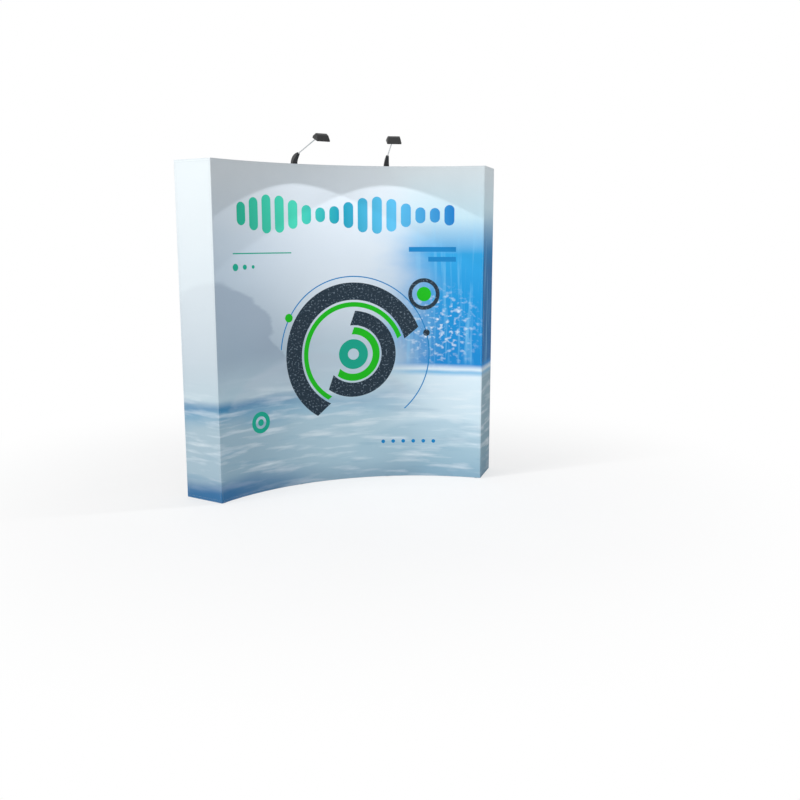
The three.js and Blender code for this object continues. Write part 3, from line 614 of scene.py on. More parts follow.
def hem_layer(tree, across, up, lift):
    """A ragged blue band along the hem, strong at the left and faint past the middle."""
    ragged = add(tree, "Math", {0: lift, 1: -1.2, 2: up}, operation="MULTIPLY_ADD")
    hem = add(tree, "MapRange", {0: ragged, 1: 0.18, 2: 0.03}, interpolation_type="SMOOTHSTEP")
    faded = add(tree, "MapRange", {0: across, 1: -0.95, 2: -0.2, 3: 0.95, 4: 0.15})
    return add(tree, "Math", {0: hem, 1: faded}, operation="MULTIPLY"), linear("#2a6898")


def frosted(tree, place, colour):
    """The dark accent, speckled like frost on rubber."""
    specks = add(tree, "TexNoise", {"Vector": place, "Scale": 1000 / 13.3, "Detail": 4.0})
    specks = add(tree, "MapRange", {0: specks, 1: 0.56, 2: 0.7, 4: 0.6})
    return add(tree, "Mix", {0: specks, 6: colour, 7: linear("#93a6b4")}, 2, data_type="RGBA")


def printed_knit(accents):
    """Dye-sublimated stretch knit: ink sits in the yarn, so the picture is matt and soft-edged."""
    made, tree, shader = blank("printed warp-knit polyester", Specular_IOR_Level=0.2, Sheen_Weight=0.05)
    place = add(tree, "UVMap", uv_map="print")
    spot = add(tree, "SeparateXYZ", {0: place}).node
    across, up = spot.outputs[0], spot.outputs[1]
    height = add(tree, "Math", {0: up, 1: 1 / FACE_TOP}, operation="MULTIPLY")

    # Soft drifts carry the tints up and down, and to and fro, so that no band runs straight
    stretched = add(tree, "Mapping", {0: place, 3: per_metre(910, 385, 1000)})
    drift = add(tree, "TexNoise", {"Vector": stretched, "Scale": 1.0, "Detail": 6.0})
    lift = add(tree, "MapRange", {0: drift, 1: 0.25, 2: 0.75, 3: -0.04, 4: 0.04})
    warped = add(tree, "Math", {0: lift, 1: 4.0, 2: across}, operation="MULTIPLY_ADD")
    side = add(tree, "MapRange", {0: warped, 1: 0.12, 2: 0.78}, interpolation_type="SMOOTHERSTEP")

    # The lower part, and the blue part on the right, both as shares of the height
    low = add(tree, "MapRange", {0: height, 1: 0.38, 2: 0.25})
    blue = add(tree, "MapRange", {0: height, 1: 0.37, 2: 0.39})
    head = add(tree, "MapRange", {0: height, 1: 0.87, 2: 0.68})
    blue = add(tree, "Math", {0: blue, 1: head}, operation="MULTIPLY")
    blue = add(tree, "Math", {0: blue, 1: side}, operation="MULTIPLY")

    reach = STROKE_TINTS_REACH
    stroke_tint = graded(tree, add(tree, "MapRange", {0: across, 1: -reach, 2: reach}), STROKE_TINTS)
    accents = {**accents, "slate": frosted(tree, place, accents["slate"])}
    colour = print_ground(tree, place, height, lift, side)
    layers = hill_layers(tree, up, warped)
    # The end panels' tints: partly painted light on the left end, partly painted shade on the right end
    layers += end_tints_and_painted_light(tree, across, height, blue)
    layers += streak_layers(tree, place, low, blue)
    layers.append(hem_layer(tree, across, up, lift))
    layers.append((stroke_mask(tree, across, up), stroke_tint))
    layers += [(mask, accents[tint]) for mask, tint in motif_masks(tree, place)]
    for mask, tint in layers:
        colour = add(tree, "Mix", {0: mask, 6: colour, 7: tint}, 2, data_type="RGBA")

    # Yarns show as a faint lighter and darker grain in the ink
    weave = knit_waves(tree, place)
    shaded = add(tree, "Mix", {0: 0.07, 6: colour, 7: linear("#3a4a58")}, 2, data_type="RGBA")
    colour = add(tree, "Mix", {0: weave, 6: shaded, 7: colour}, 2, data_type="RGBA")
    finish_with(tree, shader, colour, mottled(tree, place, 140, 0.72, 0.86), weave, depth=0.00012)
    return made


# Cover

CLOTH = 0.0008
HEM_THICKNESS = 0.0006
TAPE_THICKNESS = 0.0005
TAPE_SQUARE_HALF = 0.03
THREAD_RADIUS = 0.00035
THREAD_LIFT = 0.0001
CORNER_RADIUS = 0.006
END_PANEL_DEPTH = 0.32
END_OFFSET = HUB_RADIUS + PANEL_THICKNESS + CONTACT_GAP
END_REAR = FACE_RADIUS + END_PANEL_DEPTH
ARC_STEPS = 96
CORNER_STEPS = 6
END_STEPS = 20

# How the taut cloth leaves its arc, over the face and no further along than FACE_END
FACE_END = 1.0
FACE_BLEND = 0.06
PULL = 0.0016
PUCKER = 0.0005
PUCKER_TURN = 62
PUCKER_REACH = 0.09
RIPPLE = 0.0012
RIPPLE_SCALE = (1.7, 0.9)
RIPPLE_SLICE = 3.0

# Seams and stitch rows, from the edge, hem or corner that each one follows
EDGE_ROW = 0.004
HEM_ROW = 0.003
CORNER_ROWS = (-0.008, 0.012)
ROW_END_MARGIN = 0.002
TAPE_MARGIN = 0.001

# How far apart the mesh's points lie: up the printed side, over hems and tapes, along the face, up the ends
PRINT_STEP = 0.024
HEM_STEP = 0.01
TAPE_STEP = 0.025
FACE_STEP = 0.02
END_STEP = 0.05


def cover_path():
    """Half of the cover's plan, from the middle to the right rear edge: (distance, point, outward normal)."""
    edge = (COLUMNS - 1) / 2 * BAY_ANGLE
    across = Vector((math.cos(edge), -math.sin(edge), 0))
    outward = Vector((math.sin(edge), math.cos(edge), 0))
    beside = END_OFFSET - CORNER_RADIUS
    seat = math.sqrt((FACE_RADIUS + CORNER_RADIUS) ** 2 - beside**2)
    centre = across * beside + outward * seat
    arc_end = math.atan2(centre.x, centre.y)
    path = []
    for i in range(ARC_STEPS + 1):
        angle = arc_end * i / ARC_STEPS
        out = Vector((math.sin(angle), math.cos(angle), 0))
        path.append((FACE_RADIUS * angle, out * FACE_RADIUS, -out))
    start = math.atan2(-path[-1][2].dot(outward), path[-1][2].dot(across))
    for i in range(1, CORNER_STEPS + 1):
        turn = start * (1 - i / CORNER_STEPS)
        normal = across * math.cos(turn) - outward * math.sin(turn)
        point = centre + normal * CORNER_RADIUS
        path.append((path[-1][0] + (point - path[-1][1]).length, point, normal))
    for i in range(1, END_STEPS + 1):
        point = across * END_OFFSET + outward * (seat + (END_REAR - seat) * i / END_STEPS)
        path.append((path[-1][0] + (point - path[-1][1]).length, point, across.copy()))
    return path


def whole_path():
    """The cover's plan from its left rear edge to its right one."""
    half = cover_path()
    mirrored = [(-s, Vector((-p.x, p.y, 0)), Vector((-n.x, n.y, 0))) for s, p, n in half[:0:-1]]
    return mirrored + half


PATH = whole_path()
END_OF_PATH = PATH[-1][0]


def sag(s, z):
    """How far the taut cloth stands in front of its arc: a flat pull between the hubs and faint ripples."""
    columns = (abs(s) / FACE_RADIUS) / BAY_ANGLE + (COLUMNS - 1) / 2
    on_face = min(1.0, max(0.0, (FACE_END - abs(s)) / FACE_BLEND))
    pull = PULL * math.sin(math.pi * columns) ** 2
    near_edge = math.exp(-min(z - FACE_BOTTOM, FACE_TOP - z) / PUCKER_REACH)
    pucker = PUCKER * (1 + math.sin(PUCKER_TURN * s)) * near_edge
    place = Vector((RIPPLE_SCALE[0] * s, RIPPLE_SCALE[1] * z, RIPPLE_SLICE))
    return on_face * (pull + pucker) + RIPPLE * (1 + noise.noise(place))


def on_cover(s, z, depth=0.0):
    """A point on the cloth's printed side, or that far behind it."""
    s = max(-END_OF_PATH, min(END_OF_PATH, s))
    low, high = 0, len(PATH) - 1
    while high - low > 1:
        middle = (low + high) // 2
        low, high = (middle, high) if PATH[middle][0] <= s else (low, middle)
    share = (s - PATH[low][0]) / (PATH[high][0] - PATH[low][0])
    point = PATH[low][1].lerp(PATH[high][1], share)
    normal = PATH[low][2].lerp(PATH[high][2], share).normalized()
    return ARC_CENTRE + point + normal * (sag(s, z) - depth) + UP * z


def cover_grid(bm, stations, heights, depth, thickness, slots):
    """A closed strip of cloth over the given stations and heights: printed side, back and edges."""
    uv = bm.loops.layers.uv.verify()
    layers = []
    for behind in (depth, depth + thickness):
        layers.append([[bm.verts.new(on_cover(s, z, behind)) for z in heights] for s in stations])
    where = {}
    for layer in layers:
        for s, column in zip(stations, layer):
            for z, vert in zip(heights, column):
                where[vert] = (s, z)
    front, back = layers
    faces = []
    for i in range(len(stations) - 1):
        front_a, front_b, back_a, back_b = front[i], front[i + 1], back[i], back[i + 1]
        for j in range(len(heights) - 1):
            faces.append(((front_a[j], front_b[j], front_b[j + 1], front_a[j + 1]), slots[0]))
            faces.append(((back_a[j + 1], back_b[j + 1], back_b[j], back_a[j]), slots[1]))
        faces.append(((back_a[0], back_b[0], front_b[0], front_a[0]), slots[2]))
        faces.append(((front_a[-1], front_b[-1], back_b[-1], back_a[-1]), slots[2]))
    for j in range(len(heights) - 1):
        faces.append(((back[0][j], front[0][j], front[0][j + 1], back[0][j + 1]), slots[2]))
        faces.append(((front[-1][j], back[-1][j], back[-1][j + 1], front[-1][j + 1]), slots[2]))
    for verts, slot in faces:
        face = bm.faces.new(verts)
        face.material_index = slot
        for loop in face.loops:
            loop[uv].uv = where[loop.vert]


def spaced(low, high, step):
    """Evenly spaced values from low to high, about a step apart."""
    count = max(1, round((high - low) / step))
    return [low + (high - low) * i / count for i in range(count + 1)]


def rename_uv(made):
    made.data.uv_layers[0].name = "print"
    return made


def stitch_row(bm, points, length):
    """A row of raised thread stitches of that length through points that lie a stitch apart."""
    thin = 0.3 * THREAD_RADIUS
    bulge = ((thin, 0), (THREAD_RADIUS, 0.2 * length), (THREAD_RADIUS, 0.8 * length), (thin, length))
    for start, end in zip(points, points[1:]):
        half = (end - start).normalized() * length / 2
        middle = (start + end) / 2
        turned(bm, bulge, 4, between(middle - half, middle + half))


def build_hems(settings, stations, plain):
    """Hems, turned to the back: a strip along each edge."""
    bm = bmesh.new()
    hem = settings.hem
    slots = (0, 0, 0)
    for low in (FACE_BOTTOM, FACE_TOP - hem):
        cover_grid(bm, stations, spaced(low, low + hem, HEM_STEP), CLOTH, HEM_THICKNESS, slots)
    heights = spaced(FACE_BOTTOM + hem, FACE_TOP - hem, END_STEP)
    for side in (-1, 1):
        ends = sorted((side * END_OF_PATH, side * (END_OF_PATH - hem)))
        cover_grid(bm, spaced(*ends, HEM_STEP), heights, CLOTH, HEM_THICKNESS, slots)
    return place_piece(rename_uv(to_object("graphic_hems", bm, [plain])), "frame", "printed_fabric")


def build_tapes(settings, tape):
    """Loop tape for the hubs' hook pads: bands at the top and bottom rows and the ends, squares between."""
    bm = bmesh.new()
    hem, half = settings.hem, settings.tape / 2
    margin = hem + TAPE_MARGIN
    slots = (0, 0, 0)
    for row in (0, ROWS - 1):
        z = row_height(row)
        z = max(z, FACE_BOTTOM + margin + half) if row == 0 else min(z, FACE_TOP - margin - half)
        heights = spaced(z - half, z + half, TAPE_STEP)
        cover_grid(bm, spaced(-FACE_END, FACE_END, FACE_STEP), heights, CLOTH, TAPE_THICKNESS, slots)
    square = TAPE_SQUARE_HALF
    for column in range(COLUMNS):
        s = (column - (COLUMNS - 1) / 2) * BAY_ANGLE * FACE_RADIUS
        for row in range(1, ROWS - 1):
            z = row_height(row)
            heights = spaced(z - square, z + square, square)
            cover_grid(bm, spaced(s - square, s + square, square / 2), heights, CLOTH, TAPE_THICKNESS, slots)
    heights = spaced(FACE_BOTTOM + hem, FACE_TOP - hem, END_STEP)
    outer = END_OF_PATH - margin
    for side in (-1, 1):
        ends = sorted((side * outer, side * (outer - settings.tape)))
        cover_grid(bm, spaced(*ends, TAPE_STEP), heights, CLOTH, TAPE_THICKNESS, slots)
    return place_piece(rename_uv(to_object("graphic_loop_tape", bm, [tape])), "frame", "printed_fabric")


def build_stitches(settings, thread):
    """Two rows of stitches along each hem, and one on either side of each corner."""
    bm = bmesh.new()
    bm.loops.layers.uv.verify()
    hem, pitch, length = settings.hem, settings.stitch_pitch, settings.stitch_length
    stations = spaced(-END_OF_PATH + EDGE_ROW, END_OF_PATH - EDGE_ROW, pitch)
    low_rows = (FACE_BOTTOM + EDGE_ROW, FACE_BOTTOM + hem - HEM_ROW)
    high_rows = (FACE_TOP - EDGE_ROW, FACE_TOP - hem + HEM_ROW)
    for z in low_rows + high_rows:
        stitch_row(bm, [on_cover(s, z, -THREAD_LIFT) for s in stations], length)
    corner = FACE_RADIUS * (math.atan2(END_OFFSET, FACE_RADIUS) + (COLUMNS - 1) / 2 * BAY_ANGLE)
    upright = [corner + along for along in CORNER_ROWS]
    upright += [END_OF_PATH - EDGE_ROW, END_OF_PATH - hem + HEM_ROW]
    margin = hem + ROW_END_MARGIN
    heights = spaced(FACE_BOTTOM + margin, FACE_TOP - margin, pitch)
    for s in upright:
        for side in (-1, 1):
            stitch_row(bm, [on_cover(side * s, z, -THREAD_LIFT) for z in heights], length)
    made = rename_uv(to_object("graphic_stitching", bm, [thread]))
    return place_piece(made, "frame", "printed_fabric")


def build_cover(settings):
    """The cover in one piece over its face and both ends, with its trim, as a sheet stretched on the hubs."""
    accents = {name: tuple(getattr(settings, name)) for name in ("slate", "green", "teal", "blue")}
    printed = printed_knit(accents)
    plain = plain_knit("unprinted warp-knit polyester", linear("#e4e6e8"), linear("#d3d6d9"), 0.25)
    tape = plain_knit("brushed nylon loop tape", linear("#dadbd9"), linear("#c6c8c6"), 0.6)
    thread = plain_knit("spun polyester thread", linear("#c9ced2"), linear("#b2b8bd"), 0.1)

    bm = bmesh.new()
    stations = [s for s, _, _ in PATH]
    cover_grid(bm, stations, spaced(FACE_BOTTOM, FACE_TOP, PRINT_STEP), 0.0, CLOTH, (0, 1, 1))
    cover = rename_uv(to_object("graphic_cover", bm, [printed, plain]))
    panels = ("graphic_front_panel", "graphic_left_end", "graphic_right_end")
    place_piece(cover, "frame", "printed_fabric", *panels)

    hems = build_hems(settings, stations, plain)
    trims = [hems, build_tapes(settings, tape), build_stitches(settings, thread)]


# Frame: hubs, bars and centre locks

# Sections of turned pieces are pairs of radius and height, from one end to the other
HUB_SECTION = (
    (0.0242, -0.0108), (0.0242, -HUB_HALF), (0.026, -HUB_HALF), (0.026, -0.0092), (0.0303, -0.009),
    (HUB_RADIUS, -0.0075), (HUB_RADIUS, 0.0105), (0.0305, HUB_HALF), (0.0145, HUB_HALF), (0.0145, 0.0075),
    (0.011, 0.0075), (0.011, HUB_HALF), (0.0042, HUB_HALF), (0.0042, 0.004),
)
PAD_SECTION = ((0.0236, -0.0108), (0.0238, -0.0118), (0.0225, -0.0121))
SOLE_SECTION = ((0.0104, -BOTTOM_ROW), (0.011, -0.0394), (0.011, -0.0378))
LEG_SECTION = ((0.0106, -0.0378), (0.0106, -0.0366), (0.0088, -0.0345), (0.0088, -0.026))
SLOT_FLOOR = 0.0166
PIVOT_PIN_HALF = 0.0052

# Four round wells in the hub's back
WELL_REACH = 0.0235
WELL_FLOOR = 0.004
WELL_SECTION = ((0.0036, 0), (0.0042, 0.01))

# Lock stems: a collar at the hub, three grip grooves and a chamfered tip, with a pin through it
STEM_COLLAR = ((0.0105, 0.0115), (0.0105, 0.0145), (0.0085, 0.017), (STEM_RADIUS, 0.021))
GROOVE_STARTS = (0.034, 0.052, 0.07)
GROOVE_DEPTH = 0.0008
GROOVE_SLOPE = 0.0006
GROOVE_LENGTH = 0.0036
STEM_CHAMFER = 0.0015
STEM_END = HUB_HALF + STEM_LENGTH
PIN_HEAD = HOOK_ASIDE + HOOK_THICKNESS / 2 + CONTACT_GAP
PIN_SECTION = (
    (0.003, 0), (0.003, PIN_HEAD), (0.0055, PIN_HEAD),
    (0.0055, PIN_HEAD + 0.0011), (0.005, PIN_HEAD + 0.0015),
)


def ways_of(column, row):
    """The quarter turns at which bars leave a front hub: 0 right, 1 up, 2 left, 3 down."""
    open_ways = {0: column < COLUMNS - 1, 1: row < ROWS - 1, 2: column > 0, 3: row > 0}
    return tuple(way for way, is_open in open_ways.items() if is_open)


def turned_round(ways):
    """The same ways on a hub that looks the other way."""
    return tuple(sorted(2 - way if way % 2 == 0 else way for way in ways))


def hub_blank(ways, to_y, nylon):
    """The hub's moulding with its bar slots and wells cut."""
    bm = bmesh.new()
    turned(bm, HUB_SECTION, 48, to_y)
    cutter = bmesh.new()
    for way in ways:
        turn = Matrix.Rotation(-way * math.pi / 2, 4, "Y")
        low = (SLOT_FLOOR, HUB_HALF - SLOT_DEPTH, BAR_OFFSET - SLOT_HALF)
        high = (HUB_RADIUS + 2 * CUT_OVERRUN, HUB_HALF + CUT_OVERRUN, BAR_OFFSET + SLOT_HALF)
        block(cutter, low, high, turn)
    for quarter in range(4):
        angle = math.radians(45 + 90 * quarter)
        well = Vector((WELL_REACH * math.cos(angle), WELL_FLOOR, WELL_REACH * math.sin(angle)))
        turned(cutter, WELL_SECTION, 16, Matrix.Translation(well) @ to_y)
    return taken_back(to_object("hub_blank", bm, [nylon], cutter=cutter))


def stem_section():
    """The outline of a lock stem from the hub's centre to the stem's tip."""
    section = list(STEM_COLLAR)
    floor = STEM_RADIUS - GROOVE_DEPTH
    for start in GROOVE_STARTS:
        end = start + GROOVE_LENGTH
        section += [(STEM_RADIUS, start), (floor, start + GROOVE_SLOPE)]
        section += [(floor, end - GROOVE_SLOPE), (STEM_RADIUS, end)]
    return section + [(STEM_RADIUS, STEM_END - STEM_CHAMFER), (STEM_RADIUS - STEM_CHAMFER, STEM_END)]


def hub_mesh(ways, has_foot, stem_side, finishes, edge):
    """A moulded hub about its own centre: hook pad towards -Y, slots open to +Y."""
    to_y = Matrix.Rotation(-math.pi / 2, 4, "X")
    bm = hub_blank(ways, to_y, finishes["nylon"])
    turned(bm, PAD_SECTION, 48, to_y, 1)
    if has_foot:
        turned(bm, SOLE_SECTION, 28, slot=2)
        turned(bm, LEG_SECTION, 28)
    for way in ways:
        turn = Matrix.Rotation(-way * math.pi / 2, 4, "Y")
        low = turn @ Vector((PIVOT_REACH, PIVOT_INSET, BAR_OFFSET - PIVOT_PIN_HALF))
        high = turn @ Vector((PIVOT_REACH, PIVOT_INSET, BAR_OFFSET + PIVOT_PIN_HALF))
        pin = ((PIVOT_PIN_RADIUS, 0), (PIVOT_PIN_RADIUS, 2 * PIVOT_PIN_HALF))
        turned(bm, pin, 14, between(low, high), 3)
    if stem_side:
        turned(bm, stem_section(), 28, to_y)
        centre = Vector((0, STEM_END - PIN_SETBACK, 0))
        turned(bm, PIN_SECTION, 24, between(centre, centre + RIGHT * stem_side), 3)
    made = to_object("hub", bm, [finishes[key] for key in ("nylon", "hooks", "rubber", "zinc")], edge)
    mesh = applied(made)
    bpy.data.objects.remove(made)
    return mesh


def build_hubs(settings):
    """Front and rear hubs in every column and row. Hubs of one kind share a mesh."""
    nylon = (tuple(settings.nylon), linear("#2a2b2d"))
    rubber = (linear("#131314"), linear("#1f1f20"))
    zinc = (linear("#a9adb0"), linear("#8f9294"))
    finishes = {
        "nylon": moulded_plastic("black glass-filled nylon", *nylon, roughness=0.5, grain_mm=0.7),
        "hooks": hook_tape(linear("#3a3b3d")),
        "rubber": moulded_plastic("black EPDM rubber", *rubber, roughness=0.78, grain_mm=1.2),
        "zinc": metal("zinc-plated steel", *zinc, roughness=0.36, grain_mm=(3.3, 3.3, 3.3), depth=0.00004),
    }
    meshes = {}
    for column in range(COLUMNS):
        for row in range(ROWS):
            has_stem = is_inner(column, COLUMNS) and is_inner(row, ROWS)
            front = (ways_of(column, row), row == 0, 1 if has_stem else 0)
            rear = (turned_round(front[0]), row == 0, -1 if has_stem else 0)
            for key in (front, rear):
                if key not in meshes:
                    meshes[key] = hub_mesh(*key, finishes, settings.hub_edge)
            tag = f"c{column + 1}_r{row + 1}"
            seat = Matrix.Translation((0, FRONT_RADIUS, row_height(row)))
            far = Matrix.Translation((0, REAR_RADIUS, row_height(row))) @ Matrix.Rotation(math.pi, 4, "Z")
            for name, mesh, place, nodes in (
                (f"front_hub_{tag}", meshes[front], seat, ()),
                (f"back_hub_{tag}", meshes[rear], far, (f"rear_hub_{tag}",)),
            ):
                hub = bpy.data.objects.new(name, mesh)
                bpy.context.scene.collection.objects.link(hub)
                hub.matrix_world = spoke(column) @ place
                place_piece(hub, "frame", "hub_nylon", *nodes)


TONGUE_END = 0.018
COLLAR_SECTION = ((0.0052, 0.0125), (0.0072, 0.0152), (0.0072, 0.0285), (0.00655, 0.0295))
RIVET_HEAD = ((0.0032, -0.0018), (0.0046, -0.0008), (0.0046, 0.0006), (0.003, 0.0006))
WASHER = ((0.003, -0.001), (0.0062, -0.001), (0.0062, 0.001), (0.003, 0.001))
TUBE_EDGE = 0.0004
RIVET_EDGE = 0.0003


def bar(tubes, ends, start, end, axis):
    """A drawn tube between two pivots. Each end has a moulded collar over the tube and a flat tongue."""
    along = (end - start).normalized()
    length = (end - start).length
    side = axis.cross(along)
    basis = Matrix((along, side, axis)).transposed().to_4x4()
    tube = ((BAR_RADIUS, TUBE_SETBACK), (BAR_RADIUS, length - TUBE_SETBACK))
    turned(tubes, tube, 24, between(start, end))
    outline = arc_points((0, 0), TONGUE_RADIUS, 90, 270, 10)
    outline += [(TONGUE_END, -TONGUE_RADIUS), (TONGUE_END, TONGUE_RADIUS)]
    rings = [[Vector((x, y, z)) for x, y in outline] for z in (-TONGUE_HALF, TONGUE_HALF)]
    half_turn = Matrix.Rotation(math.pi, 4, "Z")
    for place in (Matrix.Translation(start) @ basis, Matrix.Translation(end) @ basis @ half_turn):
        loft(ends, rings, place)
        turned(ends, COLLAR_SECTION, 24, place @ Matrix.Rotation(math.pi / 2, 4, "Y"))


def rivet(bm, centre, axis):
    """A headed rivet through both bars, with a washer between them."""
    head = BAR_OFFSET + BAR_RADIUS
    near = [(radius, height - head) for radius, height in RIVET_HEAD]
    far = [(radius, -height) for radius, height in near[::-1]]
    turned(bm, [*near, *WASHER, *far], 20, between(centre, centre + axis))


def crossing(first, second):
    """Where two level bars cross, seen from above, at the height midway between them."""
    direction = first[1] - first[0]
    other = second[1] - second[0]
    gap = second[0] - first[0]
    share = (gap.x * other.y - gap.y * other.x) / (direction.x * other.y - direction.y * other.x)
    point = first[0] + direction * share
    point.z = (first[0].z + second[0].z) / 2
    return point


def column_pairs(column):
    """A column's crossing pairs, upward: two bars as pairs of pivots, their rivet's axis and its centre."""
    place = spoke(column)
    near, far = FRONT_RADIUS + PIVOT_INSET, REAR_RADIUS - PIVOT_INSET
    pairs = []
    for row in range(ROWS - 1):
        low, high = row_height(row) + PIVOT_REACH, row_height(row + 1) - PIVOT_REACH
        rising = (place @ Vector((-BAR_OFFSET, near, low)), place @ Vector((-BAR_OFFSET, far, high)))
        falling = (place @ Vector((BAR_OFFSET, near, high)), place @ Vector((BAR_OFFSET, far, low)))
        pairs.append((rising, falling, place.to_3x3() @ RIGHT, sum(rising + falling, Vector()) / 4))
    return pairs


def bay_pair(bay, row):
    """A bay's crossing pair in that row, as column_pairs gives them."""
    left, right = spoke(bay), spoke(bay + 1)
    near, far = FRONT_RADIUS + PIVOT_INSET, REAR_RADIUS - PIVOT_INSET
    high, low = row_height(row) + BAR_OFFSET, row_height(row) - BAR_OFFSET
    rightward = (left @ Vector((PIVOT_REACH, near, high)), right @ Vector((-PIVOT_REACH, far, high)))
    leftward = (right @ Vector((-PIVOT_REACH, near, low)), left @ Vector((PIVOT_REACH, far, low)))
    return rightward, leftward, UP, crossing(rightward, leftward)


def build_bars(settings):
    """The crossing bars of each column, and of each bay in each row: tubes, moulded ends and rivets."""
    # Etching before the anodising leaves an even satin, so its grain is the same on all axes
    colours = (tuple(settings.aluminium), linear("#a2a7ab"))
    grain = {"roughness": 0.34, "grain_mm": (2.5, 2.5, 2.5), "depth": 0.00002}
    aluminium = metal("natural anodised aluminium", *colours, **grain)
    nylon = bpy.data.materials["black glass-filled nylon"]
    zinc = bpy.data.materials["zinc-plated steel"]
    groups = []
    for column in range(COLUMNS):
        name = f"column_{column + 1}"
        groups.append((name, column_pairs(column), f"{name}_hubs_and_bars"))
    for bay in range(COLUMNS - 1):
        for row in range(ROWS):
            name = f"horizontal_pair_b{bay + 1}_r{row + 1}"
            groups.append((name, [bay_pair(bay, row)], name))
    for name, pairs, node in groups:
        tubes, ends, rivets = bmesh.new(), bmesh.new(), bmesh.new()
        for first, second, axis, centre in pairs:
            bar(tubes, ends, *first, axis)
            bar(tubes, ends, *second, axis)
            rivet(rivets, centre, axis)
        tubes = to_object(f"{name}_tubes", tubes, [aluminium], TUBE_EDGE)
        place_piece(tubes, "frame", "bar_aluminium", node)
        ends = to_object(f"{name}_bar_ends", ends, [nylon], settings.bar_end_edge)
        place_piece(ends, "frame", "hub_nylon")
        rivets = to_object(f"{name}_rivets", rivets, [zinc], RIVET_EDGE)
        place_piece(rivets, "frame", "zinc_steel")


NOTCH_HALF = 0.0044
NOTCH_TOP = 0.0033
TAB_LENGTH = 0.022
TAB_FOOT = 0.003
BEAD_START = 0.018
BEAD_LENGTH = 0.04
BEAD_STEPS = 6
BEAD_RADIUS = 0.0013
BEAD_HEIGHT = 0.0005
HOOK_EDGE = 0.0005


def hook_outline():
    """A hook's side, forward and up from its pivot: round end, notch for the catch pin, finger tab."""
    end, tip = HOOK_END_RADIUS, HOOK_SPAN + TAB_LENGTH
    near, far = HOOK_SPAN - NOTCH_HALF, HOOK_SPAN + NOTCH_HALF
    outline = arc_points((0, 0), end, 90, 270, 16)
    outline += [(near, -end), (near, NOTCH_TOP), (far, NOTCH_TOP), (far, -end / 2)]
    return outline + [(HOOK_SPAN + end, 0), (tip, TAB_FOOT), (tip, end)]


def hook_bead():
    """The pressed bead that stiffens a hook's plate."""
    section = arc_points((HOOK_THICKNESS / 2, BEAD_HEIGHT), BEAD_RADIUS, 0, 360, 8)[:-1]
    stations = [BEAD_START + BEAD_LENGTH * i / BEAD_STEPS for i in range(BEAD_STEPS + 1)]
    return [[Vector((x, -station, z)) for x, z in section] for station in stations]


def build_locks():
    """The hooks on the inner rear stems, each about its pivot beside the stem's tip."""
    zinc = bpy.data.materials["zinc-plated steel"]
    pivot = REAR_RADIUS - STEM_END + PIN_SETBACK
    inner = [(column, row) for column in range(1, COLUMNS - 1) for row in range(1, ROWS - 1)]
    for column, row in inner:
        tag = f"c{column + 1}_r{row + 1}"
        place = spoke(column) @ Matrix.Translation((HOOK_ASIDE, pivot, row_height(row)))
        bm = bmesh.new()
        side_plate(bm, hook_outline(), HOOK_THICKNESS / 2, place=place)
        loft(bm, hook_bead(), place)
        hook = to_object(f"hook_{tag}_plate", bm, [zinc], HOOK_EDGE)
        place_piece(hook, f"lock_hook_{tag}_body", "zinc_steel", f"lock_hook_{tag}")


# Clamp-on lamps

# The clamp's body: a plate over the hub with a lip in front, a leg behind and the swivel's stud on top
BODY_HALF_WIDTH = 0.015
LIP_HALF_WIDTH = 0.012
LIP_FOOT = 0.0265
LIP_SINK = 0.001
STUD_SECTION = ((0.005, BRIDGE_TOP - 0.002), (0.005, BRIDGE_TOP + 0.0088), (0.0042, BRIDGE_TOP + 0.01))
BORE_RADIUS = 0.0044

# The jaw: a steel block with a ribbed rubber pad on its front
JAW_HALF_WIDTH = 0.011
JAW_FOOT = 0.016
JAW_CREST = 0.032
JAW_EDGE = 0.0009
PAD_THICKNESS = 0.002
PAD_SINK = 0.0002
PAD_INSET = 0.0005
PAD_GROOVE = 0.0008
PAD_EDGE = 0.0003
PAD_RIBS = 5
PAD_RIB_START = 0.0011
PAD_RIB_WIDTH = 0.0017
PAD_RIB_PITCH = 0.003

# The screw: a thread, a retaining ring and a lobed knob whose section is in shares of its radius
THREAD_STEPS = 6
THREAD_SIDES = 20
THREAD_FRONT = JAW_FRONT + 0.0015
THREAD_REAR = KNOB_FRONT + 0.001
RING_SECTION = (
    (0.0052, RING_FRONT),
    (0.006, RING_FRONT + 0.0004),
    (0.006, RING_FRONT + RING_THICKNESS - 0.0004),
    (0.0052, RING_FRONT + RING_THICKNESS),
)
KNOB_SECTION = (
    (0.8, 0), (0.95, 0.0007), (1, 0.002), (1, 0.0098), (0.95, 0.0113), (0.86, 0.012),
    (0.6, 0.012), (0.56, 0.011), (0.25, 0.0108),
)
KNOB_SIDES = 72
LOBE_HEIGHT = 0.001
LOBED_SHARE = 0.7

# The wedge's back rises straight for a share of the sections and then bends over to the rod. The first
# ring of its foot is as narrow as the wedge is WEDGE_FOOT_RISE further up
WEDGE_STEPS = 22
STRAIGHT_SHARE = 0.2
WEDGE_CHAMFER = 0.0016
WEDGE_FOOT_RISE = 0.0014
WEDGE_FOOT_CORNER = 0.006
WEDGE_TIP_CORNER = 0.003
WEDGE_TAPER = 0.55
INLET_PLACE = Vector((0, 0.0185, 0.01))
INLET_SECTION = (
    (0.0065, 0), (0.0065, 0.0025), (0.005, 0.0035), (0.005, 0.0068),
    (0.0044, 0.0075), (0.0033, 0.0075), (0.003, 0.0068), (0.003, 0.001),
)
ROD_COLLAR_SECTION = ((0.0056, 0), (0.0058, 0.0055), (0.005, 0.0068), (0.0041, 0.0068))

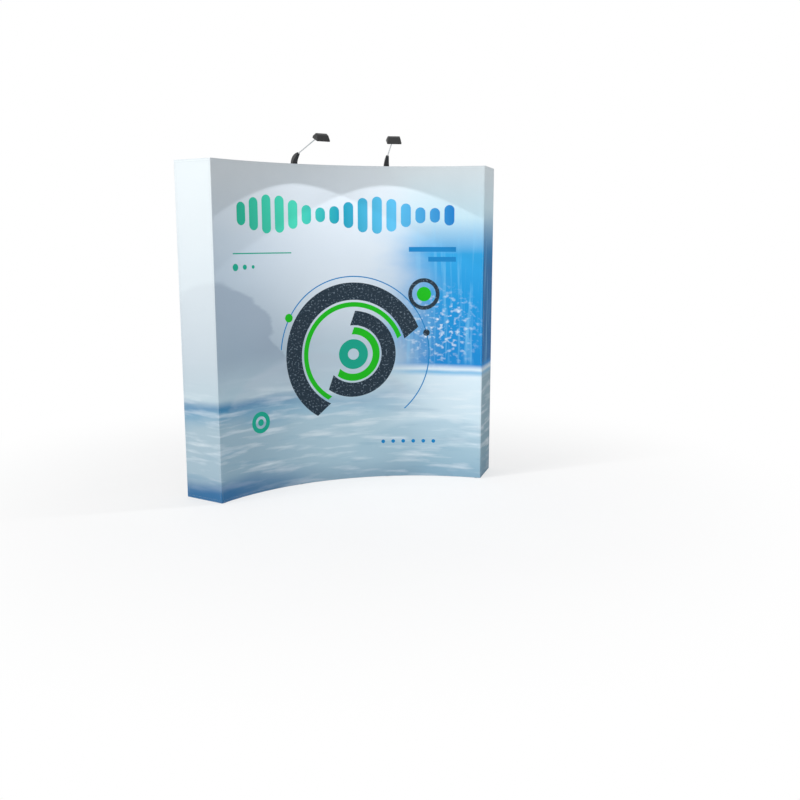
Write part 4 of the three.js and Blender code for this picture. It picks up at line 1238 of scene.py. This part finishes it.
# The rod goes on inside the wedge and ends in an eye about the hinge. Its head swells towards the eye, as
# pairs of radius and distance before the hinge
ROD_HIDDEN = 0.028
ROD_RADIUS = 0.004
ROD_HEAD = ((ROD_RADIUS, 0.026), (0.0044, 0.024), (0.0052, 0.012), (0.0052, 0.005))
EYE_HALF = 0.005
EYE_RADIUS = 0.008
EYE_CHAMFER = 0.0006
EYE_BORE = 0.0035


def along_arm(distance):
    """The point that far along the rod from the wedge's tip."""
    tip = Vector((0, -WEDGE_TIP.x, WEDGE_TIP.y))
    return tip + Vector((0, -math.cos(ARM_ANGLE), math.sin(ARM_ANGLE))) * distance


def screw_line(hub):
    """The line of the clamp's screw: it starts above the hub's centre, and its Z axis runs backward."""
    return hub @ Matrix.Translation((0, 0, SCREW_HEIGHT)) @ Matrix.Rotation(-math.pi / 2, 4, "X")


def screw_bore(hub):
    """The bore for the clamp screw, through whatever stands on its line."""
    bore = bmesh.new()
    section = ((BORE_RADIUS, JAW_FRONT - CUT_OVERRUN), (BORE_RADIUS, LEG_REAR + CUT_OVERRUN))
    turned(bore, section, 24, screw_line(hub))
    return bore


def clamp_body(hub, side, finish, edge):
    """The clamp's moulded body, bored for its screw."""
    name = f"{side}_lamp_clamp_body"
    bm = bmesh.new()
    lip_front = LIP_REAR - LIP_THICKNESS
    outline = (
        (-lip_front, BRIDGE_TOP), (-lip_front, BRIDGE_BOTTOM), (-LEG_FRONT, BRIDGE_BOTTOM),
        (-LEG_FRONT, LEG_FOOT), (-LEG_REAR, LEG_FOOT), (-LEG_REAR, BRIDGE_TOP),
    )
    side_plate(bm, outline, BODY_HALF_WIDTH, place=hub)
    lip_high = (LIP_HALF_WIDTH, LIP_REAR, BRIDGE_TOP - LIP_SINK)
    block(bm, (-LIP_HALF_WIDTH, lip_front, LIP_FOOT), lip_high, hub)
    turned(bm, STUD_SECTION, 24, hub @ Matrix.Translation((0, SWIVEL_SETBACK, 0)))
    shell = to_object(f"{name}_shell", bm, [finish["plastic"]], edge, 3, screw_bore(hub))
    place_piece(shell, "frame", "lamp_plastic", name)


def clamp_jaw(hub, side, finish):
    """The steel jaw and the rubber pad that bears on the hub."""
    name = f"{side}_lamp_clamp_jaw"
    bm = bmesh.new()
    low = (-JAW_HALF_WIDTH, JAW_FRONT + PAD_THICKNESS, JAW_FOOT)
    block(bm, low, (JAW_HALF_WIDTH, JAW_FRONT + JAW_THICKNESS, JAW_CREST), hub)
    plate = to_object(f"{name}_block", bm, [finish["zinc"]], JAW_EDGE, 3, screw_bore(hub))
    place_piece(plate, f"{side}_jaw", "zinc_steel", name)
    bm = bmesh.new()
    half_width = JAW_HALF_WIDTH - PAD_INSET
    low = (-half_width, JAW_FRONT + PAD_GROOVE, JAW_FOOT + PAD_INSET)
    block(bm, low, (half_width, JAW_FRONT + PAD_THICKNESS + PAD_SINK, JAW_CREST - PAD_INSET), hub)
    for i in range(PAD_RIBS):
        z = JAW_FOOT + PAD_INSET + PAD_RIB_START + PAD_RIB_PITCH * i
        high = (half_width, JAW_FRONT + PAD_GROOVE + 2 * PAD_SINK, z + PAD_RIB_WIDTH)
        block(bm, (-half_width, JAW_FRONT, z), high, hub)
    pad = to_object(f"{name}_pad", bm, [finish["rubber"]], PAD_EDGE, 2, screw_bore(hub))
    place_piece(pad, f"{side}_jaw", "zinc_steel")


def thread_rings(start, end):
    """A thread of one start as level rings: round each ring its flank falls to the root and rises again."""
    rings = []
    for step in range(int((end - start) / THREAD_PITCH * THREAD_STEPS) + 1):
        height = start + THREAD_PITCH * step / THREAD_STEPS
        ring = []
        for i in range(THREAD_SIDES):
            phase = (step / THREAD_STEPS - i / THREAD_SIDES) % 1
            radius = SCREW_RADIUS - THREAD_DEPTH * (1 - abs(2 * phase - 1))
            angle = 2 * math.pi * i / THREAD_SIDES
            ring.append(Vector((radius * math.cos(angle), radius * math.sin(angle), height)))
        rings.append(ring)
    return rings


def knob_rings():
    """The knob's rings: lobed at its rim and plain round in the dished end."""
    rings = []
    for share, height in KNOB_SECTION:
        lobe = LOBE_HEIGHT if share > LOBED_SHARE else 0
        ring = []
        for i in range(KNOB_SIDES):
            angle = 2 * math.pi * i / KNOB_SIDES
            radius = share * (KNOB_RADIUS + lobe * math.cos(KNOB_LOBES * angle))
            ring.append(Vector((radius * math.cos(angle), radius * math.sin(angle), KNOB_FRONT + height)))
        rings.append(ring)
    return rings


def clamp_screw(hub, side, finish):
    """The captive screw: thread and retaining ring in steel, and its moulded knob."""
    name = f"{side}_lamp_clamp_screw"
    bm = bmesh.new()
    loft(bm, thread_rings(THREAD_FRONT, THREAD_REAR), screw_line(hub))
    turned(bm, RING_SECTION, 24, screw_line(hub))
    thread = to_object(f"{name}_thread", bm, [finish["zinc"]])
    place_piece(thread, f"{side}_screw", "zinc_steel")
    bm = bmesh.new()
    loft(bm, knob_rings(), screw_line(hub))
    knob = to_object(f"{name}_knob", bm, [finish["plastic"]])
    place_piece(knob, f"{side}_screw", "lamp_plastic", name)


def quadratic(start, pull, end, share):
    """A point on the curve that leaves start towards pull and comes to end."""
    return start * (1 - share) ** 2 + pull * 2 * share * (1 - share) + end * share**2


def wedge_rings():
    """The wedge's sections from its foot to its tip, each a rounded loop between the front and the back."""
    across = Vector((-math.sin(ARM_ANGLE), math.cos(ARM_ANGLE))) * WEDGE_TIP_HALF
    tip_top, tip_low = WEDGE_TIP + across, WEDGE_TIP - across
    bend = Vector((WEDGE_RADIUS, WEDGE_BACK_HEIGHT))
    shoulder = Vector((-WEDGE_RADIUS, WEDGE_BACK_HEIGHT))
    pull = Vector((-WEDGE_RADIUS / 2, WEDGE_TIP.y))
    rings = []
    for i in range(-1, WEDGE_STEPS + 2):
        share = min(1.0, max(0.0, i / WEDGE_STEPS))
        front = quadratic(Vector((WEDGE_RADIUS, 0)), bend, tip_low, share)
        if share < STRAIGHT_SHARE:
            back = Vector((-WEDGE_RADIUS, WEDGE_BACK_HEIGHT * share / STRAIGHT_SHARE))
        else:
            back = quadratic(shoulder, pull, tip_top, (share - STRAIGHT_SHARE) / (1 - STRAIGHT_SHARE))
        inset = 0.0 if 0 <= i <= WEDGE_STEPS else WEDGE_CHAMFER
        rise = WEDGE_FOOT_RISE if i < 0 else 0.0
        corner = WEDGE_FOOT_CORNER + (WEDGE_TIP_CORNER - WEDGE_FOOT_CORNER) * share
        middle, half = (front + back) / 2, (front - back) / 2
        ring = []
        for along, sideways in rounded_loop(half.length - inset, WEDGE_HALF_WIDTH - inset, corner):
            point = middle + half.normalized() * along
            width = 1 - WEDGE_TAPER * max(0.0, min(1.0, (point.y + rise) / tip_top.y))
            ring.append(Vector((sideways * width, -point.x, point.y)))
        rings.append(ring)
    # The second ring lies over the first, so that the foot has a chamfer
    lift = Vector((0, 0, WEDGE_CHAMFER))
    rings[1] = [point + lift if point.z < WEDGE_CHAMFER else point for point in rings[1]]
    return rings


def arm_pieces(arm, side, finish):
    """The wedge that swivels on the clamp's stud and the rod that rises from it to the head's hinge."""
    bm = bmesh.new()
    loft(bm, wedge_rings(), arm)
    inlet = arm @ Matrix.Translation(INLET_PLACE) @ Matrix.Rotation(-math.pi / 2, 4, "X")
    turned(bm, INLET_SECTION, 24, inlet)
    turned(bm, ROD_COLLAR_SECTION, 24, arm @ between(along_arm(-0.004), along_arm(0.003)))
    wedge = to_object(f"{side}_lamp_arm_base_moulding", bm, [finish["plastic"]])
    place_piece(wedge, f"{side}_arm", "lamp_plastic", f"{side}_lamp_arm_base")

    bm = bmesh.new()
    hinge = along_arm(ARM_REACH)
    foot = along_arm(-ROD_HIDDEN)
    length = (hinge - foot).length
    line = between(foot, hinge)
    head = [(radius, length - before) for radius, before in ROD_HEAD]
    turned(bm, [(ROD_RADIUS, 0), *head], 28)
    rim, flat = EYE_RADIUS - EYE_CHAMFER, EYE_HALF - EYE_CHAMFER
    eye = (
        (EYE_BORE, -EYE_HALF), (rim, -EYE_HALF), (EYE_RADIUS, -flat),
        (EYE_RADIUS, flat), (rim, EYE_HALF), (EYE_BORE, EYE_HALF),
    )
    turned(bm, eye, 32, line.inverted() @ between(hinge, hinge + RIGHT))
    tube = to_object(f"{side}_lamp_arm_rod_tube", bm, [finish["rod"]])
    tube.matrix_world = arm @ line
    place_piece(tube, f"{side}_arm", "rod_steel", f"{side}_lamp_arm_rod")


# The head's side, forward and up from its hinge, and the two faces that each of its ends has
HEAD_REAR = 0.0105
CREST_REAR = 0.0305
BACK_TOP = 0.008
HEAD_SIDE = (
    (HEAD_REAR, HEAD_FLOOR), (0.079, HEAD_FLOOR), (0.0775, HEAD_BELT), (0.0565, 0.027),
    (CREST_REAR, HEAD_CREST), (HEAD_REAR, BACK_TOP), (HEAD_REAR, HEAD_BELT),
)
HEAD_ENDS = ((0, 1, 2, 6), (6, 2, 3, 4, 5))
CROWN_TAPER = 0.008

# The recess for the lens in the head's floor
RECESS_HALF_WIDTH = 0.043
RECESS_FRONT = 0.074
RECESS_REAR = 0.0155
RECESS_TOP = -0.004
LENS_EDGE = 0.0007
LENS_RIBS = 10
LENS_RIB_HALF = 0.0018
LENS_RIB_INSET = 0.002
LENS_RIB_SINK = 0.001

# Hinge ears, cooling ribs up the back slope, a screw head on each end and the caps of the hinge pin
EAR_RADIUS = 0.008
EAR_HALF = 0.002
EAR_ASIDE = 0.0074
RIB_COUNT = 9
RIB_LENGTH = 0.025
RIB_HALF_WIDTH = 0.0016
RIB_HALF_DEPTH = 0.0009
RIB_CORNER = 0.0006
RIB_FOOT = Vector((0, -0.0108, 0.0094))
SCREW_PLACE = Vector((0.045, -0.05, 0.012))
SCREW_LEAN = 0.3
SCREW_HEAD = ((0.0036, -0.002), (0.0036, 0.0006), (0.003, 0.0011))
CAP_SECTION = (
    (0.003, 0), (0.003, 0.0097), (0.005, 0.0097), (0.005, 0.0111),
    (0.0043, 0.0117), (0.0024, 0.0117), (0.0024, 0.0105),
)


def head_half_width(up):
    """The crown leans in above the belt."""
    return HEAD_HALF_WIDTH - CROWN_TAPER * max(0.0, (up - HEAD_BELT) / (HEAD_CREST - HEAD_BELT))


def head_blank(plastic, edge):
    """The housing with rounded edges and the lens's recess cut."""
    bm = bmesh.new()
    ends = []
    for sign in (-1, 1):
        ends.append([bm.verts.new((sign * head_half_width(up), -forward, up)) for forward, up in HEAD_SIDE])
    near, far = ends
    for i in range(len(HEAD_SIDE)):
        after = (i + 1) % len(HEAD_SIDE)
        bm.faces.new((near[i], near[after], far[after], far[i]))
    for ring in ends:
        for corners in HEAD_ENDS:
            bm.faces.new([ring[corner] for corner in corners])
    bm = taken_back(to_object("rounded_housing", bm, [plastic], edge, 4))
    recess = bmesh.new()
    low = (-RECESS_HALF_WIDTH, -RECESS_FRONT, HEAD_FLOOR - CUT_OVERRUN)
    block(recess, low, (RECESS_HALF_WIDTH, -RECESS_REAR, RECESS_TOP))
    return taken_back(to_object("recessed_housing", bm, [plastic], cutter=recess))


def head_shell(head, side, finish, settings):
    """The flood head's housing with its hinge ears, cooling ribs and end screws."""
    bm = head_blank(finish["plastic"], settings.housing_edge)
    ear = arc_points((0, 0), EAR_RADIUS, 90, 270, 14) + [(0.014, -0.0075), (0.014, EAR_RADIUS)]
    for sign in (-1, 1):
        side_plate(bm, ear, EAR_HALF, sign * EAR_ASIDE)
    slope = Vector((0, HEAD_REAR - CREST_REAR, HEAD_CREST - BACK_TOP)).normalized()
    section = rounded_loop(RIB_HALF_WIDTH, RIB_HALF_DEPTH, RIB_CORNER, 2)
    rib = [[Vector((across, depth, z)) for across, depth in section] for z in (0, RIB_LENGTH)]
    for i in range(RIB_COUNT):
        x = (i - RIB_COUNT // 2) * settings.rib_pitch
        if abs(x) > EAR_ASIDE + EAR_HALF:
            start = RIB_FOOT + RIGHT * x
            loft(bm, rib, between(start, start + slope))
    for sign in (-1, 1):
        centre = Vector((sign * SCREW_PLACE.x, SCREW_PLACE.y, SCREW_PLACE.z))
        turned(bm, SCREW_HEAD, 20, between(centre, centre + Vector((sign, 0, SCREW_LEAN))))
    shell = to_object(f"{side}_lamp_head_housing_shell", bm, [finish["plastic"]])
    shell.matrix_world = head
    place_piece(shell, f"{side}_head", "lamp_plastic", f"{side}_lamp_head_housing")


def head_lens(head, side, finish):
    """The frosted lens, ribbed across its face."""
    bm = bmesh.new()
    half_width = RECESS_HALF_WIDTH - CONTACT_GAP
    low = Vector((-half_width, CONTACT_GAP - RECESS_FRONT, HEAD_FLOOR + CONTACT_GAP))
    high = Vector((half_width, -RECESS_REAR - CONTACT_GAP, RECESS_TOP - CONTACT_GAP))
    block(bm, low, high)
    for i in range(LENS_RIBS):
        y = low.y + (i + 0.5) * (high.y - low.y) / LENS_RIBS
        rib_low = (low.x + LENS_RIB_INSET, y - LENS_RIB_HALF, HEAD_FLOOR)
        block(bm, rib_low, (high.x - LENS_RIB_INSET, y + LENS_RIB_HALF, low.z + LENS_RIB_SINK))
    lens = to_object(f"{side}_lamp_head_lens_panel", bm, [finish["lens"]], LENS_EDGE, 2)
    lens.matrix_world = head
    place_piece(lens, f"{side}_head", "lens_plastic", f"{side}_lamp_head_lens")


def head_pin(head, side, finish):
    """The hinge pin with a cap on either side."""
    bm = bmesh.new()
    for sign in (-1, 1):
        turned(bm, CAP_SECTION, 24, between(Vector(), RIGHT * sign))
    pin = to_object(f"{side}_lamp_head_hinge_pin_turned", bm, [finish["zinc"]])
    pin.matrix_world = head
    place_piece(pin, f"{side}_head", "zinc_steel", f"{side}_lamp_head_hinge_pin")


GLOW_PLACE = Vector((0, -0.045, -0.012))
GLOW_CONE = math.radians(112)
GLOW_EDGE = 0.04
GLOW_RADIUS = 0.012


def frosted_lens(colour):
    """Frosted polycarbonate: milky, lets a little light in, with a soft sheen over its ribs."""
    body = {"IOR": 1.58, "Subsurface_Weight": 0.25, "Subsurface_Scale": 0.004}
    made, tree, shader = blank("frosted polycarbonate", **body)
    place = add(tree, "TexCoord", out="Object")
    frost = add(tree, "TexNoise", {"Vector": place, "Scale": 1000 / 0.7, "Detail": 2.0})
    patches = mottled(tree, place, 17, 0.0, 1.0)
    milky = add(tree, "Mix", {0: patches, 6: colour, 7: linear("#dfe2df")}, 2, data_type="RGBA")
    finish_with(tree, shader, milky, mottled(tree, place, 20, 0.32, 0.42), frost, 0.00008)
    return made


def add_glow(head, side, strength):
    """The light that a lamp throws on the wall, as a spot that rides on its head."""
    glow = bpy.data.lights.new(f"{side}_lamp_glow", "SPOT")
    glow.spot_size = GLOW_CONE
    glow.spot_blend = GLOW_EDGE
    glow.shadow_soft_size = GLOW_RADIUS
    glow.use_nodes = True
    tree = glow.node_tree
    tree.nodes.clear()
    # A slow falloff keeps the pool of light as level as the photographed one
    falloff = add(tree, "LightFalloff", {"Strength": strength}, "Linear")
    emission = add(tree, "Emission", {"Color": linear("#fbfaff"), "Strength": falloff})
    add(tree, "OutputLight", {"Surface": emission})
    source = bpy.data.objects.new(glow.name, glow)
    bpy.context.scene.collection.objects.link(source)
    source.parent = frame["bodies"][f"{side}_head"]
    source.matrix_world = Matrix.Translation(head @ GLOW_PLACE)


def build_lamps(settings):
    """Both lamps, on the top hubs of the inner columns."""
    black = (tuple(settings.plastic), linear("#1b1c1e"))
    chrome = (linear("#d4d6d7"), linear("#c6c9cb"))
    polish = {"roughness": 0.26, "grain_mm": (1.4, 1.4, 110), "depth": 0.000006}
    finish = {
        "plastic": moulded_plastic("black ABS, fine spark grain", *black, roughness=0.46, grain_mm=0.8),
        "zinc": bpy.data.materials["zinc-plated steel"],
        "rubber": bpy.data.materials["black EPDM rubber"],
        "rod": metal("satin chromed steel", *chrome, **polish),
        "lens": frosted_lens(linear("#f0f2ee")),
    }
    for column, side in ((1, "left"), (2, "right")):
        hub = spoke(column) @ Matrix.Translation((0, FRONT_RADIUS, row_height(ROWS - 1)))
        arm = hub @ Matrix.Translation((0, SWIVEL_SETBACK, ARM_FOOT))
        head = arm @ Matrix.Translation(along_arm(ARM_REACH)) @ Matrix.Rotation(HEAD_TILT, 4, "X")
        clamp_body(hub, side, finish, settings.clamp_edge)
        clamp_jaw(hub, side, finish)
        clamp_screw(hub, side, finish)
        arm_pieces(arm, side, finish)
        head_shell(head, side, finish, settings)
        head_lens(head, side, finish)
        head_pin(head, side, finish)
        add_glow(head, side, settings.glow)


# Studio

# The camera as fitted to the photo, its lens and sensor in millimetres
CAMERA_LENS = 41.13
CAMERA_SENSOR = 36
CAMERA_PLACE = (-1.8959, -6.2180, 1.7694)
CAMERA_TURN = (math.radians(79.873), 0, math.radians(-20.347))

# Suns stand for broad lights: where each shines from, and how wide it looks in degrees
KEY_FROM = (-0.94, -0.16, 0.42)
KEY_SPREAD = 24
FRONT_FROM = (-0.35, -0.85, 0.55)
FRONT_SPREAD = 60

# The floor, and the distances over which it fades into the backdrop
FLOOR_HALF = 40
FLOOR_HEIGHT = -0.0005
FADE_START = 1.0
FADE_END = 3.6
FADE_LEAST = 0.62


def build_stage(settings):
    """The photo's view in a white studio: camera, soft sky, two suns and a floor."""
    scene = bpy.context.scene
    scene.view_settings.view_transform = "Standard"
    camera = bpy.data.objects.new("camera", bpy.data.cameras.new("camera"))
    camera.data.lens = CAMERA_LENS
    camera.data.sensor_width = CAMERA_SENSOR
    camera.location = CAMERA_PLACE
    camera.rotation_euler = CAMERA_TURN
    scene.collection.objects.link(camera)
    scene.camera = camera

    world = bpy.data.worlds.new("studio")
    world.use_nodes = True
    scene.world = world
    tree = world.node_tree
    tree.nodes.clear()
    seen = seen_rays(tree)
    soft = add(tree, "Background", {0: tuple(settings.sky), 1: settings.sky_strength})
    white = add(tree, "Background", {0: (1, 1, 1, 1), 1: 1.0})
    add(tree, "OutputWorld", {0: add(tree, "MixShader", {0: seen, 1: soft, 2: white})})

    for name, direction, strength, spread in (
        ("key", KEY_FROM, settings.key, KEY_SPREAD),
        ("front", FRONT_FROM, settings.front, FRONT_SPREAD),
    ):
        lamp = bpy.data.lights.new(name, "SUN")
        lamp.energy = strength * math.pi
        lamp.angle = math.radians(spread)
        made = bpy.data.objects.new(name, lamp)
        made.rotation_euler = Vector(direction).to_track_quat("Z", "Y").to_euler()
        scene.collection.objects.link(made)

    bm = bmesh.new()
    corners = ((-1, -1), (1, -1), (1, 1), (-1, 1))
    bm.faces.new([bm.verts.new((x * FLOOR_HALF, y * FLOOR_HALF, FLOOR_HEIGHT)) for x, y in corners])
    to_object("floor", bm, [studio_floor()])


def studio_floor():
    """A pale painted floor that keeps the shadow near the display and fades into the white backdrop."""
    made, tree, shader = blank("painted studio floor", Specular_IOR_Level=0.2)
    place = add(tree, "NewGeometry", out="Position")
    patches = mottled(tree, place, 1250, 0.0, 1.0)
    tones = {6: linear("#f3f3f2"), 7: linear("#f7f7f6")}
    paint = add(tree, "Mix", {0: patches, **tones}, 2, data_type="RGBA")
    grain = add(tree, "TexNoise", {"Vector": place, "Scale": 1000 / 3.3})
    finish_with(tree, shader, paint, mottled(tree, place, 500, 0.58, 0.66), grain, 0.0002)
    far = add(tree, "VectorMath", {0: place}, "Value", operation="LENGTH")
    span = {1: FADE_START, 2: FADE_END, 3: FADE_LEAST, 4: 1.0}
    fade = add(tree, "MapRange", {0: far, **span}, interpolation_type="SMOOTHSTEP")
    mix = add(tree, "Math", {0: fade, 1: seen_rays(tree)}, operation="MULTIPLY")
    white = add(tree, "Emission", {0: (1, 1, 1, 1), 1: 1.0})
    out = next(node for node in tree.nodes if node.type == "OUTPUT_MATERIAL")
    tree.links.new(add(tree, "MixShader", {0: mix, 1: shader.outputs[0], 2: white}), out.inputs[0])
    return made


def seen_rays(tree):
    """1 for rays that show the backdrop: from the camera, or by way of gloss or glass."""
    path = add(tree, "LightPath").node.outputs
    direct = add(tree, "Math", {0: path["Is Camera Ray"], 1: path["Is Glossy Ray"]}, operation="MAXIMUM")
    return add(tree, "Math", {0: direct, 1: path["Is Transmission Ray"]}, operation="MAXIMUM")


# Add-on: settings, operators and panel


def tint(name, description, code):
    """A colour setting, its default from an sRGB hex code."""
    options = {"subtype": "COLOR", "size": 4, "min": 0, "max": 1}
    return FloatVectorProperty(name=name, description=description, default=linear(code), **options)


def size(name, description, metres):
    """A length setting."""
    options = {"unit": "LENGTH", "precision": 4, "min": 0}
    return FloatProperty(name=name, description=description, default=metres, **options)


def light(name, description, strength):
    """A setting for how strong a light is."""
    return FloatProperty(name=name, description=description, default=strength, min=0)


class CoverSettings(bpy.types.PropertyGroup):
    hem: size("Hem", "How wide a strip is turned to the back along each edge", 0.02)
    tape: size("Loop tape", "Width of the loop tape on the back", 0.05)
    stitch_pitch: size("Stitch pitch", "From one stitch to the next", 0.0045)
    stitch_length: size("Stitch length", "The thread that shows of each stitch", 0.0034)
    slate: tint("Slate", "The print's dark accent", "#1f2f3b")
    green: tint("Green", "The print's vivid accent", "#14b80b")
    teal: tint("Teal", "The print's small marks", "#0fa287")
    blue: tint("Blue", "The print's blue mark", "#117fbd")


class FrameSettings(bpy.types.PropertyGroup):
    hub_edge: size("Hub edge", "How far the edges of the hubs are rounded", 0.0006)
    bar_end_edge: size("Bar end edge", "How far the edges of the moulded bar ends are rounded", 0.0005)
    nylon: tint("Nylon", "Colour of the hubs and bar ends", "#1a1b1d")
    aluminium: tint("Aluminium", "Colour of the bars", "#b9bdc0")


class LampSettings(bpy.types.PropertyGroup):
    housing_edge: size("Housing edge", "How far the edges of the lamp heads are rounded", 0.0032)
    clamp_edge: size("Clamp edge", "How far the edges of the clamps are rounded", 0.0011)
    rib_pitch: size("Rib pitch", "From one cooling rib to the next", 0.0082)
    plastic: tint("Lamp plastic", "Colour of the lamps' mouldings", "#101113")
    glow: light("Glow", "Strength of the light that each lamp throws on the wall", 1.05)


class StageSettings(bpy.types.PropertyGroup):
    sky: tint("Sky", "Colour of the soft light from all round", "#fbfcff")
    sky_strength: light("Sky strength", "Strength of the soft light from all round", 0.62)
    key: light("Key", "Light from the left, as a share of plain level", 0.36)
    front: light("Front", "Light from the front, as a share of plain level", 0.14)


class DISPLAY_OT_stage(bpy.types.Operator):
    """Makes the camera, the studio light and the floor"""

    bl_idname = "display.build_stage"
    bl_label = "Studio"

    def execute(self, context):
        build_stage(context.scene.display_stage)
        return {"FINISHED"}


class DISPLAY_OT_hubs(bpy.types.Operator):
    """Makes the front and rear hubs with their pads, feet and lock stems"""

    bl_idname = "display.build_hubs"
    bl_label = "Hubs"

    def execute(self, context):
        build_hubs(context.scene.display_frame)
        return {"FINISHED"}


class DISPLAY_OT_bars(bpy.types.Operator):
    """Makes the scissor bars with their moulded ends and rivets"""

    bl_idname = "display.build_bars"
    bl_label = "Bars"

    def execute(self, context):
        build_bars(context.scene.display_frame)
        return {"FINISHED"}


class DISPLAY_OT_locks(bpy.types.Operator):
    """Makes the hooks of the centre locks"""

    bl_idname = "display.build_locks"
    bl_label = "Lock hooks"

    def execute(self, context):
        build_locks()
        return {"FINISHED"}


class DISPLAY_OT_cover(bpy.types.Operator):
    """Makes the printed cover with its hems, loop tape and stitching"""

    bl_idname = "display.build_cover"
    bl_label = "Cover"

    def execute(self, context):
        build_cover(context.scene.display_cover)
        return {"FINISHED"}


class DISPLAY_OT_lamps(bpy.types.Operator):
    """Makes the two clamp-on lamps"""

    bl_idname = "display.build_lamps"
    bl_label = "Lamps"

    def execute(self, context):
        build_lamps(context.scene.display_lamps)
        return {"FINISHED"}


OPERATORS = (
    DISPLAY_OT_stage,
    DISPLAY_OT_hubs,
    DISPLAY_OT_bars,
    DISPLAY_OT_locks,
    DISPLAY_OT_cover,
    DISPLAY_OT_lamps,
)
SETTINGS = {
    "display_cover": CoverSettings,
    "display_frame": FrameSettings,
    "display_lamps": LampSettings,
    "display_stage": StageSettings,
}


class DISPLAY_PT_pieces(bpy.types.Panel):
    """Lists the display's pieces and their settings"""

    bl_label = "Pop-up display"
    bl_idname = "DISPLAY_PT_pieces"
    bl_space_type = "VIEW_3D"
    bl_region_type = "UI"
    bl_category = "Display"

    def draw(self, context):
        for operator in OPERATORS:
            self.layout.operator(operator.bl_idname)
        for name, group in SETTINGS.items():
            box = self.layout.box()
            for key in group.__annotations__:
                box.prop(getattr(context.scene, name), key)


def register():
    for group in (*SETTINGS.values(), *OPERATORS, DISPLAY_PT_pieces):
        bpy.utils.register_class(group)
    for name, group in SETTINGS.items():
        setattr(bpy.types.Scene, name, PointerProperty(type=group))


def unregister():
    for name in SETTINGS:
        delattr(bpy.types.Scene, name)
    for group in (DISPLAY_PT_pieces, *OPERATORS[::-1], *SETTINGS.values()):
        bpy.utils.unregister_class(group)


def main():
    register()
    for operator in OPERATORS:
        section, name = operator.bl_idname.split(".")
        getattr(getattr(bpy.ops, section), name)()


if __name__ == "__main__":
    main()
